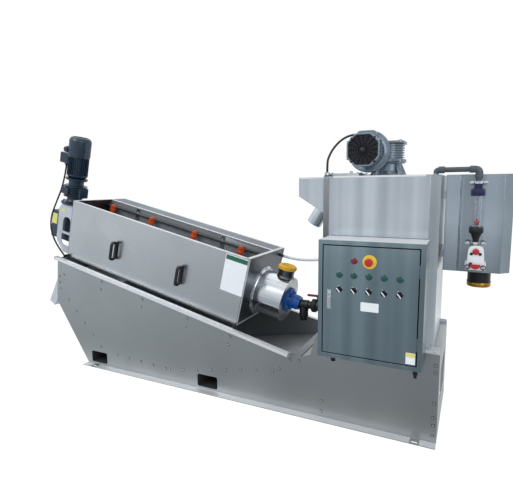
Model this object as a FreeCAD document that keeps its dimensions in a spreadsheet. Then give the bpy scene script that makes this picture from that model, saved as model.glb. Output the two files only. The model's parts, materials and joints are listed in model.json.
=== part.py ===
"""Sludge dewatering screw press on a sheet-metal frame, with mixing tank and control cabinet.

Millimetres, +Z up, +X towards the mixing tank, the control cabinet faces -Y. The origin lies on the floor,
at the centre of the four anchor slots. The drum, its housing and its drive lean along the slope of the frame:
their own frame starts at the high end of the sloping edge, runs down the slope as x, and its z is square to it.
"""
import FreeCAD, Part

import math
import os
import re

import Sketcher
from FreeCAD import Placement, Rotation, Vector

SIZES = {
    # base frame
    "base_length": 2410,
    "frame_width": 620,
    "plate": 4,
    "sheet": 3,
    "base_flange": 55,
    "slope_angle": 13.2,
    "slope_foot_x": 425,
    "slope_foot_z": 345,
    "slope_head_x": -1467,
    "slope_flange": 30,
    "slope_lip": 22,
    "kink_x": -1503,
    "kink_z": 443,
    "notch_x": 440,
    "notch_z": 322,
    "step_x": 567,
    "deck_z": 465,
    "anchor_end": 100,
    "anchor_out": 35,
    "anchor_width": 14,
    "anchor_slot": 34,
    "hole_length": 150,
    "hole_height": 82,
    "hole_low": 16,
    "hole_corner": 14,
    "left_hole_in": 113,
    "middle_hole_in": 1050,
    "tube": 60,
    "left_tube_x": -700,
    "beam_top": 300,
    "end_ledge": 34,
    "window_half": 170,
    "window_low": 150,
    "window_high": 340,
    # filtrate trough
    "trough_left_x": -1385,
    "trough_left_z": 478,
    "trough_bend_x": -1060,
    "trough_bend_z": 145,
    "trough_low_x": -470,
    "trough_low_z": 105,
    "trough_right_z": 262,
    "trough_flange": 42,
    # cake chute
    "chute_tip_x": -1593,
    "chute_tip_z": 433,
    "chute_foot_x": -1545,
    "chute_foot_z": 403,
    "chute_top_x": -1420,
    "chute_end_x": -1330,
    "chute_end_z": 690,
    "chute_drop": 40,
    # drum housing, in the slope frame
    "housing_start": 55,
    "housing_end": 1545,
    "housing_width": 536,
    "housing_low": 5,
    "housing_top": 437,
    "housing_lip": 18,
    "drive_foot": 30,
    "inlet_foot": 60,
    "foot_overlap": 20,
    "rear_shelf": 172,
    "guard_drop": 130,
    "first_strap": 355,
    "second_strap": 1140,
    "strap_width": 14,
    "drum_axis": 190,
    "drum_inset": 75,
    "drum_radius": 128,
    "ring_pitch": 72,
    "ring_width": 50,
    "ring_depth": 12,
    "drum_bore": 96,
    "shaft_radius": 30,
    "shaft_hole": 42,
    "back_plate": 90,
    "plate_taper": 24,
    "plate_start": 95,
    "header_radius": 13,
    "header_height": 392,
    "branch_back": 36,
    "nipple_length": 26,
    "nozzle_first": 118,
    "nozzle_pitch": 395,
    "nozzle_radius": 17,
    "nozzle_length": 30,
    "handle_first": 518,
    "handle_second": 1085,
    "handle_height": 190,
    "handle_length": 132,
    "handle_reach": 55,
    "handle_bar": 9,
    "handle_foot": 5,
    # sludge inlet, in the slope frame
    "chamber_radius": 150,
    "chamber_length": 205,
    "chamber_rim": 165,
    "rim_thickness": 10,
    "neck_radius": 46,
    "neck_height": 55,
    "neck_back": 55,
    "cap_radius": 58,
    "cap_height": 26,
    "cap_step": 8,
    "blue_flange": 80,
    "blue_thickness": 20,
    "blue_neck": 37,
    "blue_length": 62,
    "blue_taper": 13,
    "pipe_radius": 25,
    "tee_gap": 24,
    "pipe_run_x": 440,
    "valve_radius": 43,
    "valve_length": 84,
    "knee_radius": 30,
    "drain_drop": 100,
    "drain_radius": 23,
    "stem_radius": 10,
    "stem_rise": 14,
    "lever_hub": 15,
    "lever_length": 75,
    "lever_half": 9,
    "lever_height": 12,
    "arm_height": 8,
    # drive, in the slope frame
    "stand_start": -245,
    "stand_half": 130,
    "stand_plate": 8,
    "stand_low": -40,
    "stand_top": 325,
    "stand_corner": 85,
    "window_in": 55,
    "window_out": 145,
    "window_height": 92,
    "lower_window": 52,
    "upper_window": 175,
    "drive_hole": 60,
    "motor_x": -230,
    "gearbox_start": -385,
    "gearbox_end": -110,
    "gearbox_half": 90,
    "gearbox_low": 40,
    "gearbox_high": 290,
    "gearbox_nose": 75,
    "nose_radius": 70,
    "nose_height": 96,
    "base_radius": 100,
    "unit_radius": 84,
    "unit_height": 212,
    "unit_flange": 14,
    "rib_depth": 14,
    "rib_width": 8,
    "bell_height": 24,
    "bell_inset": 22,
    "fin_width": 4,
    "fin_depth": 8,
    "cowl_dome": 24,
    "drive_radius": 80,
    "drive_length": 175,
    "cowl_radius": 84,
    "cowl_length": 150,
    "motor_box_start": -392,
    "motor_box_width": 84,
    "motor_box_low": 645,
    "motor_box_height": 84,
    # mixing tank
    "tank_left": 585,
    "tank_right": 1171,
    "tank_gap": 6,
    "tank_top": 1343,
    "tank_corner": 45,
    "hatch_rise": 16,
    "hatch_inset": 20,
    "hatch_length": 162,
    "hatch_half": 225,
    "hopper_half": 150,
    "hopper_reach": 181,
    "hopper_lip": 110,
    "stub_radius": 44.5,
    "stub_wall": 3,
    "stub_length": 120,
    "stub_angle": 32,
    # mixer drive
    "mixer_x": 877,
    "worm_offset": 85,
    "worm_z": 1475,
    "worm_radius": 84,
    "worm_top": 1530,
    "worm_neck": 50,
    "worm_entry": 144,
    "worm_foot": 100,
    "worm_rim": 96,
    "worm_flange": 12,
    "pedestal_radius": 70,
    "pedestal_top": 1420,
    "flange_radius": 112,
    "flange_thickness": 14,
    "flange_face": -104,
    "mixer_motor_radius": 80,
    "mixer_motor_length": 78,
    "mixer_cowl_radius": 84,
    "mixer_cowl_length": 80,
    "terminal_half": 54,
    "terminal_low": 40,
    "terminal_high": 118,
    # metering box
    "meter_left": 1205,
    "meter_right": 1487,
    "meter_half": 160,
    "meter_low": 863,
    "meter_corner": 44,
    "coupling_radius": 57,
    "coupling_length": 98,
    "coupling_bore": 40,
    "riser_x": 1331,
    "riser_out": 34,
    "riser_radius": 13,
    "tube_radius": 19,
    "union_radius": 31,
    "tube_low": 1089,
    "tube_high": 1240,
    "valve_low": 881,
    "valve_high": 1004,
    "pipe_top": 1366,
    "pipe_inset": 30,
    "elbow_radius": 17,
    "upper_union": 30,
    "lower_union": 28,
    "union_taper": 30,
    "valve_half": 42,
    "valve_depth": 24,
    "holder_half": 110,
    "holder_width": 40,
    "clamp_half": 20,
    "clamp_height": 14,
    # control cabinet
    "cabinet_left": 638,
    "cabinet_width": 500,
    "cabinet_low": 436,
    "cabinet_height": 596,
    "cabinet_depth": 180,
    "cabinet_gap": 2,
    "cabinet_sheet": 2,
    "rim": 22,
    "door_gap": 5,
    "door_fold": 18,
    "lamp_first_x": 746,
    "lamp_pitch": 71,
    "lamp_z": 864,
    "selector_z": 792,
    "stop_x": 890,
    "stop_z": 936,
    "lamp_radius": 13,
    "lamp_height": 12,
    "selector_radius": 15,
    "dial_height": 10,
    "grip_half": 4,
    "grip_height": 22,
    "stop_ring": 33,
    "ring_height": 8,
    "stop_height": 16,
    "spindle_back": 12,
    "stop_radius": 19,
    "stop_stem": 7,
    "stop_travel": 5,
    "spindle_radius": 5,
    "lock_x": 697,
    "lock_z": 737,
    "lock_half": 11,
    "lock_length": 96,
    "lock_depth": 8,
    "running_gap": 0.3,
    "hinge_height": 60,
    "hinge_inset": 70,
    "hinge_pin": 2,
    # cords
    "cable_radius": 6.5,
    "mixer_cable_radius": 6,
    "hose_radius": 10,
    "hose_y": 225,
    "hose_end_z": 812,
    "gland_x": 600,
    "gland_y": -240,
    "gland_height": 22,
}

ZERO = Vector(0, 0, 0)
AXES = {"x": (Vector(0, 1, 0), 90), "y": (Vector(1, 0, 0), -90), "z": (Vector(0, 0, 1), 0),
        "-x": (Vector(0, 1, 0), -90), "-y": (Vector(1, 0, 0), 90), "-z": (Vector(1, 0, 0), 180)}
SLOPE_X = "slope_head_x"
SLOPE_Z = "(slope_foot_z + (slope_foot_x - slope_head_x) * tan(slope_angle))"
INNER = "(frame_width / 2 - plate)"
TANK_HALF = "(frame_width / 2 - plate - tank_gap)"
CABINET_BACK = "(0 - frame_width / 2 - cabinet_gap)"

doc = FreeCAD.newDocument("ScrewPress")
table = doc.addObject("Spreadsheet::Sheet", "Dimensions")
for row, (size_name, size_value) in enumerate(SIZES.items(), start=1):
    table.set(f"A{row}", size_name)
    table.set(f"B{row}", str(size_value))
    table.setAlias(f"B{row}", size_name)
doc.recompute()
parts = {}


def formula(text):
    """A formula whose size names point at the sheet."""
    def pointed(word):
        return "Dimensions." + word[0] if word[0] in SIZES else word[0]
    return re.sub(r"[a-z_]+", pointed, str(text))


def value(text):
    """The number that a formula gives now."""
    return float(table.evalExpression(formula(text)))


def bind(piece, **formulas):
    """Tie the piece's properties to formulas of sizes."""
    for name, text in formulas.items():
        piece.setExpression(name, formula(text))
    return piece


def place(piece, at=(0, 0, 0), turn="z"):
    """Put the piece's own origin at a point, with its z axis along one of the six directions."""
    axis, angle = AXES[turn]
    piece.Placement = Placement(ZERO, Rotation(axis, angle))
    for letter, text in zip("xyz", at):
        piece.setExpression("Placement.Base." + letter, formula(text))
    return piece


def lean(piece, axis, angle, at=(0, 0, 0)):
    """Put the piece's own origin at a point and turn it about an axis by a formula's angle."""
    piece.Placement = Placement(ZERO, Rotation(axis, value(angle)))
    piece.setExpression("Placement.Rotation.Angle", formula(angle))
    for letter, text in zip("xyz", at):
        piece.setExpression("Placement.Base." + letter, formula(text))
    return piece


def on_slope(piece):
    """Lean a piece that was built in the slope frame."""
    return lean(piece, Vector(0, 1, 0), "slope_angle", (SLOPE_X, 0, SLOPE_Z))


def box(low, high):
    """A block between two corners."""
    piece = doc.addObject("Part::Box", "Block")
    size = [f"({b}) - ({a})" for a, b in zip(low, high)]
    return place(bind(piece, Length=size[0], Width=size[1], Height=size[2]), low)


def rod(radius, length, at, turn="z"):
    """A round bar that starts at a point."""
    return place(bind(doc.addObject("Part::Cylinder", "Rod"), Radius=radius, Height=length), at, turn)


def cone(start, end, length, at, turn="z"):
    """A tapered bar that starts at a point."""
    piece = bind(doc.addObject("Part::Cone", "Taper"), Radius1=start, Radius2=end, Height=length)
    return place(piece, at, turn)


def fuse(*pieces):
    joined = doc.addObject("Part::MultiFuse", "Joined")
    joined.Shapes = list(pieces)
    joined.Refine = True
    return joined


def cut(base, *tools):
    """The base without the tools."""
    left = doc.addObject("Part::Cut", "Cut")
    left.Base = base
    left.Tool = tools[0] if len(tools) == 1 else fuse(*tools)
    return left


def group(*pieces):
    """Solids that share a node and don't touch."""
    together = doc.addObject("Part::Compound", "Group")
    together.Links = list(pieces)
    return together


def tube(outer, wall, length, at, turn="z"):
    """A round pipe, open at both ends."""
    return cut(rod(outer, length, at, turn), rod(f"{outer} - ({wall})", length, at, turn))


def outline_sketch(body, plane, outline):
    """A closed outline of points in a sketch on one of the body's own planes."""
    sketch = body.newObject("Sketcher::SketchObject", "Outline")
    origin_plane = next(f for f in body.Origin.OriginFeatures if f.Role == plane)
    sketch.AttachmentSupport = (origin_plane, [""])
    sketch.MapMode = "FlatFace"
    spots = [Vector(value(x), value(y), 0) for x, y in outline]
    count = len(spots)
    for index, spot in enumerate(spots):
        sketch.addGeometry(Part.LineSegment(spot, spots[(index + 1) % count]), False)
    for index in range(count):
        sketch.addConstraint(Sketcher.Constraint("Coincident", index, 2, (index + 1) % count, 1))
    for index, corner in enumerate(outline):
        for kind, axis_line, text, number in zip(("DistanceX", "DistanceY"), (-2, -1), corner, spots[index]):
            if str(text) == "0":
                sketch.addConstraint(Sketcher.Constraint("PointOnObject", index, 1, axis_line))
                continue
            where = sketch.addConstraint(Sketcher.Constraint(kind, -1, 1, index, 1, number))
            sketch.setExpression(f"Constraints[{where}]", formula(text))
    return sketch


def profile(plane, outline, depth, reverse=False):
    """A body whose outline on one plane is padded square to that plane."""
    body = doc.addObject("PartDesign::Body", "Body")
    sketch = outline_sketch(body, plane, outline)
    pad = body.newObject("PartDesign::Pad", "Pad")
    pad.Profile = sketch
    bind(pad, Length=depth)
    pad.Reversed = reverse
    return body


def revolve(body, outline):
    """Turn an outline of radius and height round the body's own z axis."""
    sketch = outline_sketch(body, "XZ_Plane", outline)
    whirl = body.newObject("PartDesign::Revolution", "Revolution")
    whirl.Profile = sketch
    whirl.ReferenceAxis = (sketch, ["V_Axis"])
    whirl.Angle = 360
    return whirl


def turned(outline, at, turn="z"):
    """A body of revolution that starts at a point."""
    body = doc.addObject("PartDesign::Body", "Turned")
    revolve(body, outline)
    return place(body, at, turn)


def keep(name, piece):
    """Name a finished sub-part."""
    piece.Label = name
    parts[name] = piece
    return piece


def side_plate(name, side):
    """One side of the frame: a sheet with a base flange, a flange along the slope and two lifting slots."""
    outline = [("-base_length / 2", 0), ("base_length / 2", 0), ("base_length / 2", "deck_z"),
               ("step_x", "deck_z"), ("step_x - 32", "notch_z + 30"), ("notch_x", "notch_z"),
               ("slope_foot_x", "slope_foot_z"), ("slope_head_x", SLOPE_Z), ("kink_x", "kink_z")]
    web = profile("XZ_Plane", outline, "plate", reverse=side < 0)
    outer = f"{side} * frame_width / 2"
    place(web, (0, outer, 0))
    reach = f"{side} * (frame_width / 2 + base_flange)"
    near, far = (reach, outer) if side < 0 else (outer, reach)
    foot = box(("-base_length / 2", near, 0), ("base_length / 2", far, "plate"))
    run = "((slope_foot_x - slope_head_x) / cos(slope_angle))"
    inner = f"{side} * (frame_width / 2 - plate)"
    edge = f"{side} * (frame_width / 2 + slope_flange)"
    lip = f"{side} * (frame_width / 2 + slope_flange - plate)"
    near, far = (edge, inner) if side < 0 else (inner, edge)
    shelf = box((0, near, "-plate"), (run, far, 0))
    near, far = (edge, lip) if side < 0 else (lip, edge)
    hem = box((0, near, "-slope_lip"), (run, far, 0))
    fold = on_slope(fuse(shelf, hem))
    slots = []
    for inset in ("left_hole_in", "middle_hole_in"):
        slots.append(rounded_slot(f"({inset} - base_length / 2)", side))
    for end in (-1, 1):
        middle = f"{end} * (base_length / 2 - anchor_end)"
        across = f"{side} * (frame_width / 2 + anchor_out)"
        half = "(anchor_slot - anchor_width) / 2"
        bar = box((f"{middle} - {half}", f"{across} - anchor_width / 2", "-plate"),
                  (f"{middle} + {half}", f"{across} + anchor_width / 2", "2 * plate"))
        left = rod("anchor_width / 2", "3 * plate", (f"{middle} - {half}", across, "-plate"))
        right = rod("anchor_width / 2", "3 * plate", (f"{middle} + {half}", across, "-plate"))
        slots.append(fuse(bar, left, right))
    return keep(name, cut(fuse(web, foot, fold), *slots))


def rounded_slot(centre, side):
    """The tool for one lifting slot with rounded corners, wider than the side plate it cuts."""
    half = "hole_length / 2"
    low, high = "hole_low", "(hole_low + hole_height)"
    start = f"{side} * frame_width / 2 - 3 * plate"
    tall = box((f"{centre} - {half} + hole_corner", start, low),
               (f"{centre} + {half} - hole_corner", f"{start} + 6 * plate", high))
    wide = box((f"{centre} - {half}", start, f"{low} + hole_corner"),
               (f"{centre} + {half}", f"{start} + 6 * plate", f"{high} - hole_corner"))
    corners = [rod("hole_corner", "6 * plate",
                   (f"{centre} + {a} * ({half} - hole_corner)", start, z), "y")
               for a in (-1, 1) for z in (f"{low} + hole_corner", f"{high} - hole_corner")]
    return fuse(tall, wide, *corners)


def frame_end_plate():
    """The right end of the frame: a sheet between the side plates with a stiffened service window."""
    inside = f"-{INNER}", INNER
    web = box(("base_length / 2 - plate", inside[0], 0), ("base_length / 2", inside[1], "deck_z"))
    ledge = box(("base_length / 2 - end_ledge", inside[0], "deck_z - plate"),
                ("base_length / 2", inside[1], "deck_z"))
    window = box(("base_length / 2 - 2 * plate", "-window_half", "window_low"),
                 ("base_length / 2 + plate", "window_half", "window_high"))
    return keep("frame_end_plate", cut(fuse(web, ledge), window))


def discharge_end_plate():
    """The leaning sheet that closes the left end of the frame below the cake chute."""
    left = "-base_length / 2"
    top_x = f"({left} + (kink_x + base_length / 2) * (1 - 60 / kink_z))"
    outline = [(left, 0), (f"{left} + 1.2 * plate", 0), (f"{top_x} + 1.2 * plate", "kink_z - 60"),
               (top_x, "kink_z - 60")]
    sheet = profile("XZ_Plane", outline, f"2 * {INNER}")
    return keep("discharge_end_plate", place(sheet, (0, INNER, 0)))


def cross_members():
    """Square tubes between the side plates; the two high ones carry the mixing tank."""
    low = [("left_tube_x", "tube"), ("tank_left - 60", "tube")]
    high = [("tank_left + 40", "beam_top"), ("tank_right - 40", "beam_top")]
    bars = []
    for centre, top in low + high:
        bars.append(box((f"{centre} - tube / 2", f"-{INNER}", f"{top} - tube"),
                        (f"{centre} + tube / 2", INNER, top)))
    return keep("frame_cross_members", group(*bars))


def filtrate_trough():
    """The pan under the drum: it falls to a low line from both ends and ends in a flanged wall."""
    end = "slope_foot_x"
    low = [("trough_left_x", "trough_left_z"), ("trough_bend_x", "trough_bend_z"),
           ("trough_low_x", "trough_low_z"), (end, "trough_right_z")]
    flange = [(end, "notch_z - sheet"), (f"{end} + trough_flange", "notch_z - sheet"),
              (f"{end} + trough_flange", "notch_z"), (f"{end} - sheet", "notch_z"),
              (f"{end} - sheet", "trough_right_z + 1.2 * sheet")]
    back = [("trough_low_x", "trough_low_z + 1.2 * sheet"), ("trough_bend_x", "trough_bend_z + 1.2 * sheet"),
            ("trough_left_x + 1.4 * sheet", "trough_left_z")]
    pan = profile("XZ_Plane", low + flange + back, f"2 * {INNER}")
    return keep("filtrate_trough", place(pan, (0, INNER, 0)))


def cake_chute():
    """The open channel between the side plates that drops the cake over the left end."""
    top = [f"{SLOPE_Z} - ({x} - slope_head_x) * tan(slope_angle) - chute_drop"
           for x in ("chute_top_x", "chute_end_x")]
    cheek = [("chute_tip_x", "chute_tip_z"), ("chute_foot_x", "chute_foot_z"), ("chute_end_x", "chute_end_z"),
             ("chute_end_x", top[1]), ("chute_top_x", top[0])]
    floor = [("chute_foot_x", "chute_foot_z"), ("chute_foot_x", "chute_foot_z - 1.5 * sheet"),
             ("chute_end_x", "chute_end_z - 1.5 * sheet"), ("chute_end_x", "chute_end_z")]
    near = place(profile("XZ_Plane", cheek, "sheet"), (0, f"-{INNER} + sheet", 0))
    far = place(profile("XZ_Plane", cheek, "sheet"), (0, INNER, 0))
    base = place(profile("XZ_Plane", floor, f"2 * {INNER}"), (0, INNER, 0))
    return keep("cake_chute", fuse(near, far, base))


def housing_covers():
    """The front and rear covers of the drum housing, each a folded sheet along the slope."""
    length = "housing_end - housing_start - 2 * sheet"
    for name, side, shelf in (("housing_front_cover", -1, "housing_lip"),
                              ("housing_rear_cover", 1, "rear_shelf")):
        wall = f"{side} * housing_width / 2"
        skin = f"{side} * (housing_width / 2 - sheet)"
        ledge = f"{side} * (housing_width / 2 - {shelf})"
        foot = f"{side} * (housing_width / 2 - housing_lip)"
        outline = [(wall, "housing_low"), (wall, "housing_top"), (ledge, "housing_top"),
                   (ledge, "housing_top - sheet"), (skin, "housing_top - sheet"),
                   (skin, "housing_low + sheet"), (foot, "housing_low + sheet"), (foot, "housing_low")]
        cover = profile("YZ_Plane", outline, length)
        place(cover, ("housing_start + sheet", 0, 0))
        keep(name, on_slope(group(cover)))


def housing_ends():
    """The two end walls of the housing, each with a hole on the drum's axis and feet on the side plates."""
    half = "housing_width / 2"
    walls = (("housing_drive_wall", "housing_start", "shaft_hole", "-drive_foot"),
             ("housing_inlet_wall", "housing_end - sheet", "drum_bore", "-inlet_foot"))
    for name, start, hole, foot_low in walls:
        wall = box((start, f"-{half}", "housing_low"), (f"{start} + sheet", half, "housing_top"))
        near = box((start, f"-{INNER}", foot_low),
                   (f"{start} + sheet", f"-{half} + foot_overlap", "housing_low + foot_overlap"))
        far = box((start, f"{half} - foot_overlap", foot_low),
                  (f"{start} + sheet", INNER, "housing_low + foot_overlap"))
        holes = [rod(hole, "3 * sheet", (f"{start} - sheet", 0, "drum_axis"), "x")]
        if name == "housing_inlet_wall":
            holes.append(rod("hose_radius + running_gap", "3 * sheet",
                             (f"{start} - sheet", "hose_y", "header_height"), "x"))
        keep(name, on_slope(cut(fuse(wall, near, far), *holes)))


def splash_guard():
    """The inner sheet that hangs from the edge of the rear shelf, with two joint straps."""
    edge = "(housing_width / 2 - rear_shelf)"
    low = "housing_top - guard_drop"
    sheet = box(("housing_start + sheet", f"{edge} + sheet", low),
                ("housing_end - sheet", f"{edge} + 2 * sheet", "housing_top - sheet"))
    straps = [box((start, edge, low), (f"{start} + strap_width", f"{edge} + sheet", "housing_top - sheet"))
              for start in ("first_strap", "second_strap")]
    branch = rod("header_radius + sheet", "4 * sheet",
                 ("housing_end - branch_back", f"{edge} - sheet", "header_height"), "y")
    return keep("splash_guard", on_slope(cut(fuse(sheet, *straps), branch)))


def spray_header():
    """The wash-water pipe along the edge of the rear shelf, and its orange nozzles."""
    across = "(housing_width / 2 - rear_shelf - header_radius - 2 * sheet)"
    pipe = rod("header_radius", "housing_end - housing_start - 2 * sheet",
               ("housing_start + sheet", across, "header_height"), "x")
    branch_x = "(housing_end - branch_back)"
    branch = rod("header_radius - 2", f"hose_y - {across}", (branch_x, across, "header_height"), "y")
    nipple = rod("hose_radius", f"housing_end + nipple_length - {branch_x}",
                 (branch_x, "hose_y", "header_height"), "x")
    elbow = doc.addObject("Part::Sphere", "Elbow")
    place(bind(elbow, Radius="header_radius + 2"), (branch_x, "hose_y", "header_height"))
    keep("spray_header", on_slope(fuse(pipe, branch, nipple, elbow)))
    nozzles = []
    for index in range(4):
        nozzles.append(rod("nozzle_radius", "nozzle_length",
                           (f"nozzle_first + {index} * nozzle_pitch", f"{across} - nozzle_radius",
                            "header_height - header_radius - nozzle_length")))
    keep("spray_nozzles", on_slope(group(*nozzles)))


def drum():
    """The stack of rings round the screw on its sleeve, and the shaft that drives the screw."""
    start = "(housing_start + drum_inset)"
    length = f"(housing_end - sheet - {start})"
    sleeve = [("drum_bore", 0), ("drum_radius - ring_depth", 0), ("drum_radius - ring_depth", length),
              ("drum_bore", length)]
    body = turned(sleeve, (start, 0, "drum_axis"), "x")
    ring = [("drum_bore", 0), ("drum_radius", 0), ("drum_radius", "ring_width"), ("drum_bore", "ring_width")]
    whirl = revolve(body, ring)
    stack = body.newObject("PartDesign::LinearPattern", "Stack")
    stack.Originals = [whirl]
    stack.Direction = (next(f for f in body.Origin.OriginFeatures if f.Role == "Z_Axis"), [""])
    steps = f"floor(({length} - ring_width) / ring_pitch)"
    bind(stack, Occurrences=f"{steps} + 1", Length=f"{steps} * ring_pitch")
    body.Tip = stack
    keep("screw_drum", on_slope(group(body)))
    shaft = rod("shaft_radius", "housing_end - gearbox_end", ("gearbox_end", 0, "drum_axis"), "x")
    plate = cone("back_plate", "back_plate - plate_taper", "plate_taper", ("plate_start", 0, "drum_axis"), "x")
    keep("screw_shaft", on_slope(fuse(shaft, plate)))


def cover_handles():
    """Two bow handles on the front cover."""
    bows = []
    for start in ("handle_first", "handle_second"):
        wall = "-housing_width / 2"
        low, high = "handle_height - handle_length / 2", "handle_height + handle_length / 2"
        grip = box((f"{start} - handle_bar", f"{wall} - handle_reach", low),
                   (f"{start} + handle_bar", f"{wall} - handle_reach + 2 * handle_bar", high))
        feet = [box((f"{start} - handle_bar", f"{wall} - handle_reach + handle_bar", z),
                    (f"{start} + handle_bar", wall, f"{z} + 2 * handle_bar"))
                for z in (low, f"{high} - 2 * handle_bar")]
        strip = box((f"{start} - handle_bar", f"{wall} - handle_foot", low),
                    (f"{start} + handle_bar", wall, high))
        bows.append(fuse(grip, strip, *feet))
    return keep("cover_handles", on_slope(group(*bows)))


def inlet_chamber():
    """The round chamber where the sludge enters the drum, with its inspection neck."""
    outline = [("chamber_radius - sheet", 0), ("chamber_rim", 0), ("chamber_rim", "rim_thickness"),
               ("chamber_radius", "rim_thickness"), ("chamber_radius", "chamber_length"),
               ("blue_neck", "chamber_length"), ("blue_neck", "chamber_length - sheet"),
               ("chamber_radius - sheet", "chamber_length - sheet")]
    shell = turned(outline, ("housing_end", 0, "drum_axis"), "x")
    x = "housing_end + chamber_length - neck_back"
    neck = rod("neck_radius", "chamber_radius + neck_height", (x, 0, "drum_axis"))
    bore = rod("neck_radius - sheet", "2 * chamber_radius", (x, 0, "drum_axis"))
    hollow = rod("chamber_radius - sheet", "chamber_length - sheet", ("housing_end", 0, "drum_axis"), "x")
    keep("inlet_chamber", on_slope(cut(fuse(shell, cut(neck, hollow)), bore)))
    top = "drum_axis + chamber_radius + neck_height"
    cap = fuse(rod("cap_radius", "cap_height", (x, 0, top)),
               rod("cap_radius - cap_step", "cap_height + cap_step", (x, 0, top)))
    keep("inspection_cap", on_slope(cap))


def blue_coupling():
    """The blue flanged coupling on the chamber's face."""
    face = "housing_end + chamber_length"
    outline = [("pipe_radius", 0), ("blue_flange", 0), ("blue_flange", "blue_thickness"),
               ("blue_neck + blue_taper", "blue_thickness + blue_taper"),
               ("blue_neck", "blue_thickness + blue_taper"),
               ("blue_neck", "blue_thickness + blue_length"), ("pipe_radius", "blue_thickness + blue_length")]
    keep("blue_coupling", on_slope(group(turned(outline, (face, 0, "drum_axis"), "x"))))


def sludge_pipe():
    """The black pipe from the mixing tank to the coupling, with its drain leg and union valve."""
    along = "(housing_end + chamber_length + blue_thickness)"
    x = f"{SLOPE_X} + {along} * cos(slope_angle) + drum_axis * sin(slope_angle)"
    z = f"{SLOPE_Z} - {along} * sin(slope_angle) + drum_axis * cos(slope_angle)"
    tee_x = f"({x} + (blue_length + tee_gap) * cos(slope_angle))"
    tee_z = f"({z} - (blue_length + tee_gap) * sin(slope_angle))"
    nose = lean(rod("pipe_radius - running_gap", "blue_length + tee_gap", (0, 0, 0)), Vector(0, 1, 0),
                "90 + slope_angle", (x, 0, z))
    run = rod("pipe_radius", f"tank_left - {tee_x}", (tee_x, 0, tee_z), "x")
    knee = doc.addObject("Part::Sphere", "Knee")
    place(bind(knee, Radius="knee_radius"), (tee_x, 0, tee_z))
    leg = rod("drain_radius", "drain_drop", (tee_x, 0, tee_z), "-z")
    body = rod("valve_radius", "valve_length", ("pipe_run_x", 0, tee_z), "x")
    middle = "pipe_run_x + valve_length / 2"
    stem = rod("stem_radius", "valve_radius + stem_rise", (middle, 0, tee_z))
    keep("sludge_pipe", fuse(nose, run, knee, leg, body, stem))
    top = f"{tee_z} + valve_radius + stem_rise + running_gap"
    hub = rod("lever_hub", "lever_height", (middle, 0, top))
    arm = box((f"{middle} - lever_length", "-lever_half", top), (middle, "lever_half", f"{top} + arm_height"))
    keep("valve_lever", fuse(hub, arm))


def drive_stand():
    """The windowed bracket that carries the gearbox off the housing's drive wall."""
    cheeks = []
    for side in (-1, 1):
        corner = "stand_corner"
        outline = [("stand_start", f"stand_low + {corner}"), (f"stand_start + {corner}", "stand_low"),
                   ("housing_start", "stand_low"), ("housing_start", "stand_top"),
                   ("stand_start", "stand_top")]
        cheek = profile("XZ_Plane", outline, "stand_plate", reverse=side < 0)
        place(cheek, (0, f"{side} * stand_half", 0))
        windows = [box(("stand_start + window_in", f"{side} * stand_half - 2 * stand_plate", z),
                       ("stand_start + window_out", f"{side} * stand_half + 2 * stand_plate",
                        f"{z} + window_height"))
                   for z in ("lower_window", "upper_window")]
        cheeks.append(cut(cheek, *windows))
    top = box(("stand_start", "-stand_half", "stand_top"),
              ("housing_start", "stand_half", "stand_top + stand_plate"))
    hole = rod("drive_hole", "3 * stand_plate", ("motor_x", 0, "stand_top - stand_plate"))
    keep("drive_stand", on_slope(cut(fuse(*cheeks, top), hole)))


def screw_gearbox():
    """The right-angle gearbox between the stand's cheeks, and the ribbed unit on top of it."""
    body = box(("gearbox_start", "-gearbox_half", "gearbox_low"),
               ("gearbox_end", "gearbox_half", "gearbox_high"))
    nose = rod("nose_radius", "gearbox_nose", ("gearbox_start - gearbox_nose", 0, "nose_height"), "x")
    neck = rod("drive_hole - 2", "stand_top + stand_plate - gearbox_high + 1",
               ("motor_x", 0, "gearbox_high - 1"))
    pitch, core = "(unit_height / 9)", "unit_radius - rib_depth"
    outline = [(0, 0), ("base_radius", 0), ("base_radius", "unit_flange"), (core, "1.5 * unit_flange")]
    for index in range(2, 8):
        middle = f"{index} * {pitch}"
        outline += [(core, f"{middle} - 0.75 * rib_width"), ("unit_radius", f"{middle} - rib_width / 2"),
                    ("unit_radius", f"{middle} + rib_width / 2"), (core, f"{middle} + 0.75 * rib_width")]
    outline += [(core, "unit_height - unit_flange"), ("unit_radius", "unit_height - unit_flange"),
                ("unit_radius", "unit_height"), (0, "unit_height")]
    unit = turned(outline, ("motor_x", 0, "stand_top + stand_plate"))
    keep("screw_gearbox", on_slope(fuse(body, nose, neck, unit)))


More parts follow.
